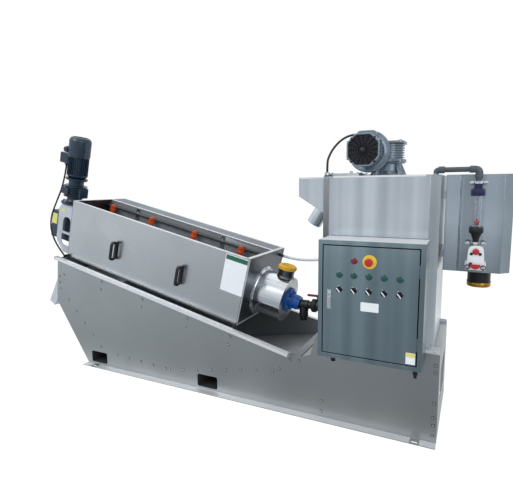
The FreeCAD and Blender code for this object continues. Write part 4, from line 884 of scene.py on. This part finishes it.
def mixer_motor():
    """The motor that points at the viewer: big flange, finned barrel, cowl and black fan grille."""
    x, z = 792, 1475

    def flange(shape):
        lathe(shape, [(0, 0), (112, 0), (112, 10), (108, 14), (92, 16), (84, 22), (0, 22)], at(x, -104, z, "-Y"), 64)
        for index in range(36):
            angle = 2 * math.pi * index / 36
            turn = at(x, -104, z, "-Y") @ Matrix.Rotation(angle, 4, "Z")
            v = [shape.verts.new(turn @ Vector(c)) for c in ((68, -1.6, 18), (80, -1.2, 18), (80, 1.2, 18),
                                                             (68, 1.6, 18), (68, -1.6, 76), (80, -1.2, 76),
                                                             (80, 1.2, 76), (68, 1.6, 76))]
            for face in ((0, 1, 5, 4), (1, 2, 6, 5), (2, 3, 7, 6), (4, 5, 6, 7)):
                shape.faces.new([v[i] for i in face])
        lathe(shape, [(69, 14), (69, 78), (0, 78)], at(x, -104, z, "-Y"), 48)
        slab(shape, rounded([(x - 54, z + 50), (x + 54, z + 50), (x + 50, z + 105), (x - 50, z + 105)], [2, 2, 22, 22]),
             -182, -120)
    piece("mixer_motor_body", mesh_from(flange), SILVER_PAINT, "machine", ("mixer_motor",))

    def octagon(size, flat):
        return [(x + a * size, z + b * flat) if a else (x + c * flat, z + b * size)
                for a, b, c in ((1, -1, 0), (1, 1, 0), (0, 1, 1), (0, 1, -1), (-1, 1, 0), (-1, -1, 0), (0, -1, -1),
                                (0, -1, 1))]

    def cowl(shape):
        frame_slab(shape, rounded(octagon(84, 40), 26, 6), rounded(octagon(76, 36), 24, 6), -262, -182)
    thing = piece("mixer_fan_cowl", mesh_from(cowl), SILVER_PAINT, "machine", ("mixer_motor_cowl",))
    soften(thing, 3, 3)

    # The cowl's vent slots are thin black blocks on its sides: painted shade for the dark insides of the openings.
    def slots(shape):
        for side in (-1, 1):
            for index in range(9):
                h = z - 44 + index * 11
                for start in (-250, -222):
                    block(shape, (x + side * 84 - 1.2, start, h - 3), (x + side * 84 + 1.0, start + 20, h + 3))
    piece("mixer_cowl_slots", mesh_from(slots), GASKET_RUBBER)

    def grille(shape):
        slab(shape, rounded(octagon(77, 36), 24, 6), -250, -184)
        for radius in (16, 28, 40, 52, 64, 76):
            lathe(shape, [(radius - 2.5, 250), (radius - 1, 256), (radius + 1, 256), (radius + 2.5, 250)],
                  at(x, 0, z, "-Y"), 40)
        lathe(shape, [(13, 250), (12, 258), (6, 260), (0, 260)], at(x, 0, z, "-Y"), 24)
        for index in range(16):
            turn = at(x, 0, z, "-Y") @ Matrix.Rotation(math.radians(22.5 * index), 4, "Z")
            v = [shape.verts.new(turn @ Vector(c)) for c in ((10, -2, 251), (76, -3, 251), (76, 0, 257), (10, 0, 257),
                                                             (76, 3, 251), (10, 2, 251))]
            shape.faces.new((v[0], v[1], v[2], v[3]))
            shape.faces.new((v[3], v[2], v[4], v[5]))
        for a, b in ((1, 1), (-1, 1), (-1, -1), (1, -1)):
            lathe(shape, [(8, 250), (8, 261), (5, 263), (0, 263)], at(x + a * 58, 0, z + b * 58, "-Y"), 12)
    piece("mixer_fan_grille", mesh_from(grille), GRILLE_BLACK)


def metering_box():
    outline = [(1188, -160), (1252, -160), (1256, -156.5), (1260, -160), (1443, -160), (1487, -116), (1487, 116),
               (1443, 160), (1188, 160)]
    shell = mesh_from(slab, outline, 863, 1343, "Z")
    soften(piece("metering_box_shell", shell, METER_STEEL, "machine", ("metering_box",)), 2.0)
    middle = (1205 + 1487) / 2 + 12

    def outlet(shape):
        lathe(shape, [(40, 98), (57, 98), (57, 90), (55, 88), (55, 30), (57, 28), (57, 24), (40, 24)],
              at(middle, 0, 765), 48)
    piece("metering_outlet_hose", mesh_from(outlet), BLACK_PLASTIC, "machine", ("metering_outlet",))

    def ring(shape):
        lathe(shape, [(40, 0), (54, 0), (57, 3), (57, 20), (55, 24), (40, 24), (40, 0)], at(middle, 0, 765), 48)
    piece("metering_outlet_ring", mesh_from(ring), BRASS, "machine")


def dosing_line():
    """The feed line: grey pipe over the tank's edge, unions, clear flow tube with float, clamps and valve."""
    x, y = 1331, -194
    corner = 1141
    curve_pipe("dosing_pipe_run", [(corner, y, 1343), (corner, y, 1366), (x, y, 1366), (x, y, 1262)], 12.5, GREY_PIPE,
               bend=16, replaced=("dosing_pipe",))

    def elbows(shape):
        lathe(shape, [(13, -4), (17, -3), (17, 24), (13, 25)], at(corner + 14, y, 1366, "X"), 24)
        lathe(shape, [(13, 0), (17, 1), (17, 26), (13, 27)], at(x - 42, y, 1366, "X"), 24)
        lathe(shape, [(13, 0), (17, 1), (17, 26), (13, 27)], at(x, y, 1324), 24)
    piece("dosing_pipe_sockets", mesh_from(elbows), GREY_PIPE)
    curve_pipe("dosing_pipe_elbow", [(x - 40, y, 1366), (x, y, 1366), (x, y, 1326)], 16.5, GREY_PIPE,
               bend=26)

    def upper(shape):
        lathe(shape, [(14, 60), (18, 58), (18, 34), (29, 32), (31, 28), (31, 4), (29, 0), (16, 0)], at(x, y, 1240), 10)
    soften(piece("flow_meter_upper_union", mesh_from(upper), NAVY_PLASTIC), 1.0)

    def lower(shape):
        lathe(shape, [(16, 0), (29, 0), (31, -4), (31, -24), (29, -28), (24, -30), (14, -56), (13, -60), (13, -85)],
              at(x, y, 1089), 10)
    thing = piece("flow_meter_lower_union", mesh_from(lower), BLACK_PLASTIC, "machine",
                  ("lower_union",))
    soften(thing, 1.0)

    def tube(shape):
        lathe(shape, [(15.5, 0), (19, 0), (19, 151), (15.5, 151), (15.5, 0)], at(x, y, 1089), 36)
    piece("flow_meter_tube_wall", mesh_from(tube), CLEAR_TUBE, "machine", ("flow_meter_tube",))

    def float_body(shape):
        lathe(shape, [(0, 8), (9, 12), (12, 24), (12, 30), (4, 34), (4, 40), (0, 41)], at(x, y, 1089), 24)
    piece("flow_meter_float", mesh_from(float_body), RED_PLASTIC)

    def scale_marks(shape):
        for index in range(13):
            z = 1106 + index * 10
            wide = 7 if index % 3 == 0 else 4
            block(shape, (x - wide, y - 19.6, z), (x + wide - 2, y - 19.0, z + 1.2))
    piece("flow_meter_scale", mesh_from(scale_marks), RED_PLASTIC)

    def clamps(shape):
        for z, width in ((1303, 34), (1013, 38)):
            frame_slab(shape, rounded([(x - 21, y - 21), (x + 21, y - 21), (x + 21, y + 21), (x - 21, y + 21)], 18, 6),
                       rounded([(x - 15, y - 15), (x + 15, y - 15), (x + 15, y + 15), (x - 15, y + 15)], 14, 6),
                       z - 6, z + 6, "Z")
            for side in (-1, 1):
                lathe(shape, [(0, 0), (9, 0), (10, 4), (8, 12), (0, 14)], at(x + side * (width - 6), y - 6, z, "-Y"), 16)
                slab(shape, rounded([(x + side * (width - 12), z - 3), (x + side * (width + 6), z + 6),
                                     (x + side * (width + 6), z - 5)], 2), y - 14, y - 9)
                block(shape, (x + side * (width - 6) - 2.5, y - 8, z - 2.5), (x + side * (width - 6) + 2.5, -160, z + 2.5))
    soften(piece("pipe_clamps", mesh_from(clamps), CHROME), 0.8)

    def valve(shape):
        slab(shape, rounded([(x - 42, 881), (x + 50, 881), (x + 50, 922), (x - 42, 922)], 5), y - 8, -160)
        outline = [(x - 36, 886), (x + 44, 886), (x + 41, 930), (x + 37, 1003), (x - 29, 1003), (x - 33, 930)]
        slab(shape, rounded(outline, [6, 6, 30, 32, 32, 30]), y - 24, -160)
    thing = piece("dosing_valve_cover", mesh_from(valve), WHITE_PLASTIC, "machine",
                  ("dosing_valve",))
    soften(thing, 5, 4)

    def knobs(shape):
        lathe(shape, [(0, 0), (15, 0), (15, 6), (9, 10), (0, 10)], at(x + 4, y - 24, 974, "-Y"), 24)
        half = [(x + 4 + 22 * math.cos(math.radians(a)), 912 + 24 * math.sin(math.radians(a))) for a in range(180, 361, 15)]
        slab(shape, half, y - 34, y - 24)
    soften(piece("dosing_valve_knobs", mesh_from(knobs), RED_PLASTIC), 1.5)

    def screws(shape):
        for side in (-1, 1):
            lathe(shape, [(0, 0), (7, 0), (7, 4), (0, 5)], at(x + 4 + side * 19, y - 23, 962, "-Y"), 16)
            lathe(shape, [(9, 0), (12, 0), (12, 9), (9, 9), (9, 0)], at(x + 4 + side * 34, y - 24, 898, "-Y"), 20)
        block(shape, (x - 22, y - 33, 906), (x - 10, y - 24, 920))
    piece("dosing_valve_screws", mesh_from(screws), GASKET_RUBBER)


mixing_tank()
mixer_gearbox()
mixer_motor()
metering_box()
dosing_line()


# Control cabinet

FRONT = -492
LAMPS = [746 + 71 * i for i in range(5)]


def cabinet_shell():
    dress("cabinet_body", CABINET_STEEL, 1.5)

    # A skin of the paler ledge steel on the cabinet's top: painted highlight.
    def top(shape):
        block(shape, (640, -490, 1032), (1136, -313, 1032.8))
    soften(piece("cabinet_top_face", mesh_from(top), LEDGE_STEEL), 0.3)

    def gasket(shape):
        frame_slab(shape, [(664.5, 462.5), (1111.5, 462.5), (1111.5, 1005.5), (664.5, 1005.5)],
                   [(672, 470), (1104, 470), (1104, 998), (672, 998)], FRONT + 18.5, FRONT + 26)
    piece("cabinet_gasket", mesh_from(gasket), GASKET_RUBBER)

    def back(shape):
        block(shape, (680, -322, 480), (1096, -319, 988))
    piece("cabinet_mounting_plate", mesh_from(back), BOLT_STEEL)

    def glands(shape):
        for x in (700, 1104):
            lathe(shape, [(0, 0), (19, 0), (19, 9), (15, 11), (15, 24), (12, 34), (12, 44), (0, 44)],
                  at(x, -420, 436, "-Z"), 16)
        lathe(shape, [(0, 0), (8, 0), (8, 60), (0, 60)], at(1104, -420, 436, "-Z"), 16)
    piece("cabinet_cable_glands", mesh_from(glands), BLACK_PLASTIC)


def cabinet_door():
    dress("cabinet_door", CABINET_STEEL, 1.2)

    def bezels(shape):
        for x, z in [(lamp, 864) for lamp in LAMPS] + [(817, 936)]:
            lathe(shape, [(13.5, 0), (17, 0), (17, 2), (16, 4), (14, 4), (13.5, 3)], at(x, FRONT, z, "-Y"), 32)
        for x in LAMPS:
            lathe(shape, [(15.3, 0), (17, 0), (17, 1.5), (16.2, 2), (15.3, 1.5), (15.3, 0)], at(x, FRONT, 792, "-Y"), 32)
    piece("lamp_bezels", mesh_from(bezels), CABINET_STEEL, "door", ())

    def lens(shape, x, z):
        lathe(shape, [(0, 0), (15, 0), (15, 6), (13, 9.5), (8, 11.5), (0, 12)], at(x, FRONT, z, "-Y"), 28)
    green = mesh_from(lambda shape: [lens(shape, x, 864) for x in LAMPS])
    piece("green_lamp_lenses", green, LENS_GREEN, "door", ("indicator_lamps",))
    piece("red_lamp_lens", mesh_from(lens, 817, 936), LENS_RED, "door", ())

    def stop_ring(shape):
        lathe(shape, [(8, 0), (33, 0), (33, 4), (30, 7), (12, 8), (8, 8)], at(890, FRONT, 936, "-Y"), 40)
    piece("stop_yellow_ring", mesh_from(stop_ring), STOP_YELLOW, "door", ("stop_ring",))

    def stop(shape):
        lathe(shape, [(0, -12), (7, -12), (7, 14), (12, 15), (18, 17), (19, 21), (19, 26), (16, 30), (8, 31.5), (0, 32)],
              at(890, FRONT, 936, "-Y"), 36)
    piece("stop_mushroom", mesh_from(stop), RED_PLASTIC, "stop_button_body", ("stop_button",))

    def lock(shape):
        slab(shape, rounded([(686, 689), (708, 689), (708, 785), (686, 785)], 5), FRONT - 4, FRONT)
        slab(shape, rounded([(690, 693), (704, 693), (704, 752), (690, 752)], 4), FRONT - 8, FRONT - 4)
        lathe(shape, [(0, 4), (8, 4), (8, 7), (0, 8)], at(697, FRONT, 768, "-Y"), 20)
    soften(piece("door_swing_lock", mesh_from(lock), CHROME, "door", ("door_lock",)), 1.2)

    for index, x in enumerate(LAMPS):
        def knob(shape):
            lathe(shape, [(0, -12), (5, -12), (5, 0.4), (15, 0.4), (15, 6), (13, 10), (0, 10)],
                  at(x, FRONT, 792, "-Y"), 28)
            block(shape, (x - 4, FRONT - 22, 778.5), (x + 4, FRONT - 9, 805.5))
        turn = Matrix.Translation((x, 0, 792)) @ Matrix.Rotation(math.radians(-40), 4, "Y") @ Matrix.Translation(
            (-x, 0, -792))
        body = f"selector_{index + 1}_body"
        soften(piece(f"selector_knob_{index + 1}", mesh_from(knob), BLACK_PLASTIC, body,
                     (f"selector_{index + 1}",), turn), 1.2)

        def pointer(shape):
            block(shape, (x - 2.6, FRONT - 22.8, 779), (x + 2.6, FRONT - 10.2, 805))
        piece(f"selector_pointer_{index + 1}", mesh_from(pointer), WHITE_PLASTIC, body, (), turn)

    def bare(shape, x0, z0, x1, z1, proud=1.0):
        slab(shape, rounded([(x0, z0), (x1, z0), (x1, z1), (x0, z1)], 3), FRONT - proud, FRONT)
    piece("door_plate_place", mesh_from(bare, 852, 695, 937, 739), LABEL_FILM, "door")
    piece("door_corner_plate_place", mesh_from(bare, 1066, 468, 1108, 523), LABEL_FILM, "door")
    piece("door_corner_plate_band", mesh_from(bare, 1067, 503, 1107, 522, 1.6), LABEL_YELLOW, "door")


cabinet_shell()
cabinet_door()


# Cords

def flexible(name, node, points, radius, material, slot, **facts):
    """A cord along its control points, as a smooth spline."""
    curve = bpy.data.curves.new(name, "CURVE")
    curve.dimensions = "3D"
    curve.resolution_u = 12
    curve.bevel_depth = radius * MM
    curve.bevel_resolution = 5
    curve.use_fill_caps = True
    spline = curve.splines.new("NURBS")
    spline.points.add(len(points) - 1)
    for control, spot in zip(spline.points, points):
        control.co = (*(Vector(spot) * MM), 1)
    spline.order_u = 3
    spline.use_endpoint_u = True
    curve.materials.append(material)
    thing = bpy.data.objects.new(name, curve)
    bpy.context.scene.collection.objects.link(thing)
    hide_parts(node)
    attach(thing, "machine")
    tuple(Vector(points[0]) * MM)


def on_slope(along, across, above):
    return tuple(SLOPE @ Vector((along, across, above)))


def cords():
    flexible("screw_motor_cord", "screw_motor_cable",
             [on_slope(-332, -26, 645), on_slope(-332, -26, 585), (-1658, -73, 1294), (-1686, -117, 1175),
              (-1694, -160, 1082), (-1661, -203, 982), (-1606, -211, 868), (-1495, -211, 753), (-1470, -231, 729.5),
              (-1455, -266, 716), (-1455, -306, 716)], 6.5, CABLE_RUBBER, "black_rubber", length=0.954,
             stiffness="medium", lay="hanging")
    flexible("mixer_motor_cord", "mixer_motor_cable",
             [(738, -150, 1565), (700, -150, 1565), (652, -165, 1540), (617, -198, 1492), (600, -228, 1440),
              (600, -240, 1410), (600, -240, 1365)], 6, CABLE_RUBBER, "black_rubber", length=0.299,
             stiffness="medium", lay="hanging")
    start, out = on_slope(1571, 225, 392), on_slope(1635, 225, 392)
    flexible("wash_water_hose", "wash_hose",
             [start, out, (out[0] + 120, 225, 794), (465, 225, 812), (585, 225, 812)], 10, HOSE_PVC, "hose",
             length=0.435, stiffness="medium", lay="hanging")

    def collars(shape):
        lathe(shape, [(10, 0), (15, 1), (15, 22), (10, 24)], at(561, 225, 812, "X"), 16)
    piece("hose_end_collar", mesh_from(collars), BLACK_PLASTIC)


cords()


# Camera, light and floor

def camera():
    """The photograph's place and angle."""
    yaw, pitch, roll = math.radians(-26.5), math.radians(7.49), math.radians(-0.49)
    ahead = Vector((math.sin(yaw) * math.cos(pitch), math.cos(yaw) * math.cos(pitch), -math.sin(pitch)))
    right = Vector((math.cos(yaw), -math.sin(yaw), 0))
    up = right.cross(ahead)
    right, up = right * math.cos(roll) + up * math.sin(roll), up * math.cos(roll) - right * math.sin(roll)
    turn = Matrix((right, up, -ahead)).transposed().to_4x4()
    lens = bpy.data.cameras.new("photo_camera")
    lens.lens = 30.39
    lens.sensor_width = 36
    lens.clip_end = 100
    thing = bpy.data.objects.new("photo_camera", lens)
    thing.matrix_world = Matrix.Translation((1.3097, -2.5243, 1.2926)) @ turn
    bpy.context.scene.collection.objects.link(thing)
    bpy.context.scene.camera = thing


def softbox(name, place, target, width, height, power, colour="#ffffff"):
    lamp = bpy.data.lights.new(name, "AREA")
    lamp.shape = "RECTANGLE"
    lamp.size, lamp.size_y = width, height
    lamp.energy = power
    lamp.color = linear(colour)[:3]
    thing = bpy.data.objects.new(name, lamp)
    thing.location = place
    thing.rotation_euler = (Vector(target) - Vector(place)).to_track_quat("-Z", "Y").to_euler()
    bpy.context.scene.collection.objects.link(thing)


def studio():
    """A white room: pale floor, even sky that is dimmer at the horizon, and two large softboxes."""
    world = bpy.data.worlds.new("white_room")
    bpy.context.scene.world = world
    world.use_nodes = True
    tree = world.node_tree
    tree.nodes.clear()
    direction = add(tree, "TexCoord").outputs["Generated"]
    height = add(tree, "SeparateXYZ", {"Vector": direction}).outputs["Z"]
    sky = add(tree, "ValToRGB", {"Fac": height})
    sky.color_ramp.elements[0].position = 0.0
    sky.color_ramp.elements[0].color = linear("#b2b7ba")
    sky.color_ramp.elements[1].position = 0.75
    sky.color_ramp.elements[1].color = linear("#f5f7f9")
    middle = sky.color_ramp.elements.new(0.22)
    middle.color = linear("#c8cdd1")
    # Soft upright bands, as a workshop's doors and pillars give; the room is drawn in directions, not in metres.
    bands = add(tree, "Mapping", {"Vector": direction, "Scale": (3.2, 3.2, 0.25)})
    pillars = add(tree, "TexNoise", {"Vector": bands.outputs["Vector"], "Scale": 1.6, "Detail": 2.0})
    shade = add(tree, "MapRange", {"Value": pillars.outputs["Fac"], "From Min": 0.36, "From Max": 0.64, "To Min": 0.95,
                                   "To Max": 1.7})
    room = add(tree, "MixRGB", {"Fac": 1.0, "Color1": sky.outputs["Color"], "Color2": shade.outputs["Result"]},
               blend_type="MULTIPLY")
    path = add(tree, "LightPath")
    glossy = add(tree, "MixRGB", {"Fac": path.outputs["Is Glossy Ray"], "Color1": sky.outputs["Color"],
                                  "Color2": room.outputs["Color"]})
    white = add(tree, "MixRGB", {"Fac": path.outputs["Is Camera Ray"], "Color1": glossy.outputs["Color"],
                                 "Color2": (1, 1, 1, 1)})
    ground = add(tree, "Background", {"Color": white.outputs["Color"], "Strength": 1.0})
    add(tree, "OutputWorld", {"Surface": ground.outputs["Background"]})
    softbox("key_softbox", (-2.6, -3.6, 4.2), (-0.2, 0, 0.6), 3.0, 2.4, 90, "#fdfcff")
    softbox("fill_softbox", (3.6, -3.0, 2.6), (0.4, 0, 0.7), 2.0, 2.6, 35, "#f6f9ff")

    material, tree, shader, output = new_material("pale_floor", Roughness=0.9)
    place = add(tree, "TexCoord").outputs["Object"]
    dust = add(tree, "TexNoise", {"Vector": place, "Scale": 0.6, "Detail": 3.0})
    tone = add(tree, "MixRGB", {"Fac": dust.outputs["Fac"], "Color1": linear("#f2f3f4"), "Color2": linear("#eeeff1")})
    tree.links.new(tone.outputs["Color"], shader.inputs["Base Color"])
    # In the steel the floor is bright beside the machine, dimmer a step away and pale again far off.
    across = add(tree, "SeparateXYZ", {"Vector": place})
    away = add(tree, "MapRange", {"Value": across.outputs["Y"], "From Min": -0.3, "From Max": -12.3})
    spread = add(tree, "Math", {0: away.outputs["Result"], 1: 0.5}, operation="POWER")
    mirror = add(tree, "ValToRGB", {"Fac": spread.outputs["Value"]})
    steps = mirror.color_ramp.elements
    steps[0].color, steps[1].color = linear("#dfe2e3"), linear("#e6eaee")
    for position, colour in ((0.07, "#c6cacc"), (0.15, "#9a9fa2"), (0.25, "#a0a5a9"), (0.37, "#aeb4b9"),
                             (0.55, "#b4bac0"), (0.7, "#b0b6bd"), (0.82, "#e6eaee"), (0.9, "#ffffff")):
        steps.new(position).color = linear(colour)
    # Light and dark lanes fan out over the floor, and it is lighter to the left: in upright sheets they read as
    # soft upright bands. "lane" is the slope of a line from the point (1.31, 1.8) m behind the machine.
    sideways = add(tree, "Math", {0: across.outputs["X"], 1: 1.31}, operation="SUBTRACT")
    forward = add(tree, "Math", {0: 1.8, 1: across.outputs["Y"]}, operation="SUBTRACT")
    lane = add(tree, "Math", {0: sideways.outputs["Value"], 1: forward.outputs["Value"]}, operation="DIVIDE")
    stripes = add(tree, "TexNoise", {"W": lane.outputs["Value"], "Scale": 6.5, "Detail": 1.5}, noise_dimensions="1D")
    banded = add(tree, "MapRange", {"Value": stripes.outputs["Fac"], "From Min": 0.35, "From Max": 0.65,
                                    "To Min": 0.84, "To Max": 1.16})
    left = add(tree, "MapRange", {"Value": lane.outputs["Value"], "From Min": -0.45, "From Max": -1.15,
                                  "To Min": 1.0, "To Max": 1.6})
    lift = add(tree, "Math", {0: banded.outputs["Result"], 1: left.outputs["Result"]}, operation="MULTIPLY")
    # A dim patch some 3 to 7 m ahead on the right side darkens the lower half of the metering box.
    right = add(tree, "MapRange", {"Value": lane.outputs["Value"], "From Min": -0.1, "From Max": -0.04, "To Max": 0.55})
    patch = add(tree, "ValToRGB", {"Fac": spread.outputs["Value"]})
    patch.color_ramp.elements[0].position, patch.color_ramp.elements[1].position = 0.38, 0.84
    patch.color_ramp.elements[1].color = linear("#000000")
    for position in (0.5, 0.7):
        patch.color_ramp.elements.new(position).color = linear("#ffffff")
    dim = add(tree, "Math", {0: right.outputs["Result"], 1: patch.outputs["Color"]}, operation="MULTIPLY")
    rest = add(tree, "Math", {0: 1.0, 1: dim.outputs["Value"]}, operation="SUBTRACT")
    level = add(tree, "Math", {0: lift.outputs["Value"], 1: rest.outputs["Value"]}, operation="MULTIPLY")
    mirrored = add(tree, "MixRGB", {"Fac": 1.0, "Color1": mirror.outputs["Color"], "Color2": level.outputs["Value"]},
                   blend_type="MULTIPLY")
    path = add(tree, "LightPath")
    tint = add(tree, "MixRGB", {"Fac": path.outputs["Is Glossy Ray"], "Color1": (1.13, 1.13, 1.13, 1),
                                "Color2": mirrored.outputs["Color"]})
    glow = add(tree, "Emission", {"Color": tint.outputs["Color"], "Strength": 1.0})
    seen = add(tree, "Math", {0: path.outputs["Is Camera Ray"], 1: 0.85}, operation="MULTIPLY")
    share = add(tree, "Math", {0: seen.outputs["Value"], 1: path.outputs["Is Glossy Ray"]}, operation="MAXIMUM")
    mixed = add(tree, "MixShader", {0: share.outputs["Value"], 1: shader.outputs["BSDF"], 2: glow.outputs["Emission"]})
    tree.links.new(mixed.outputs["Shader"], output.inputs["Surface"])
    mesh = mesh_from(lambda shape: bmesh.ops.create_grid(shape, x_segments=2, y_segments=2, size=40))
    mesh.materials.append(material)
    floor = bpy.data.objects.new("pale_floor", mesh)
    floor.location = (0, 0, -0.0005)
    bpy.context.scene.collection.objects.link(floor)
    bpy.context.scene.view_settings.view_transform = "Standard"


camera()
studio()

bpy.context.view_layer.update()
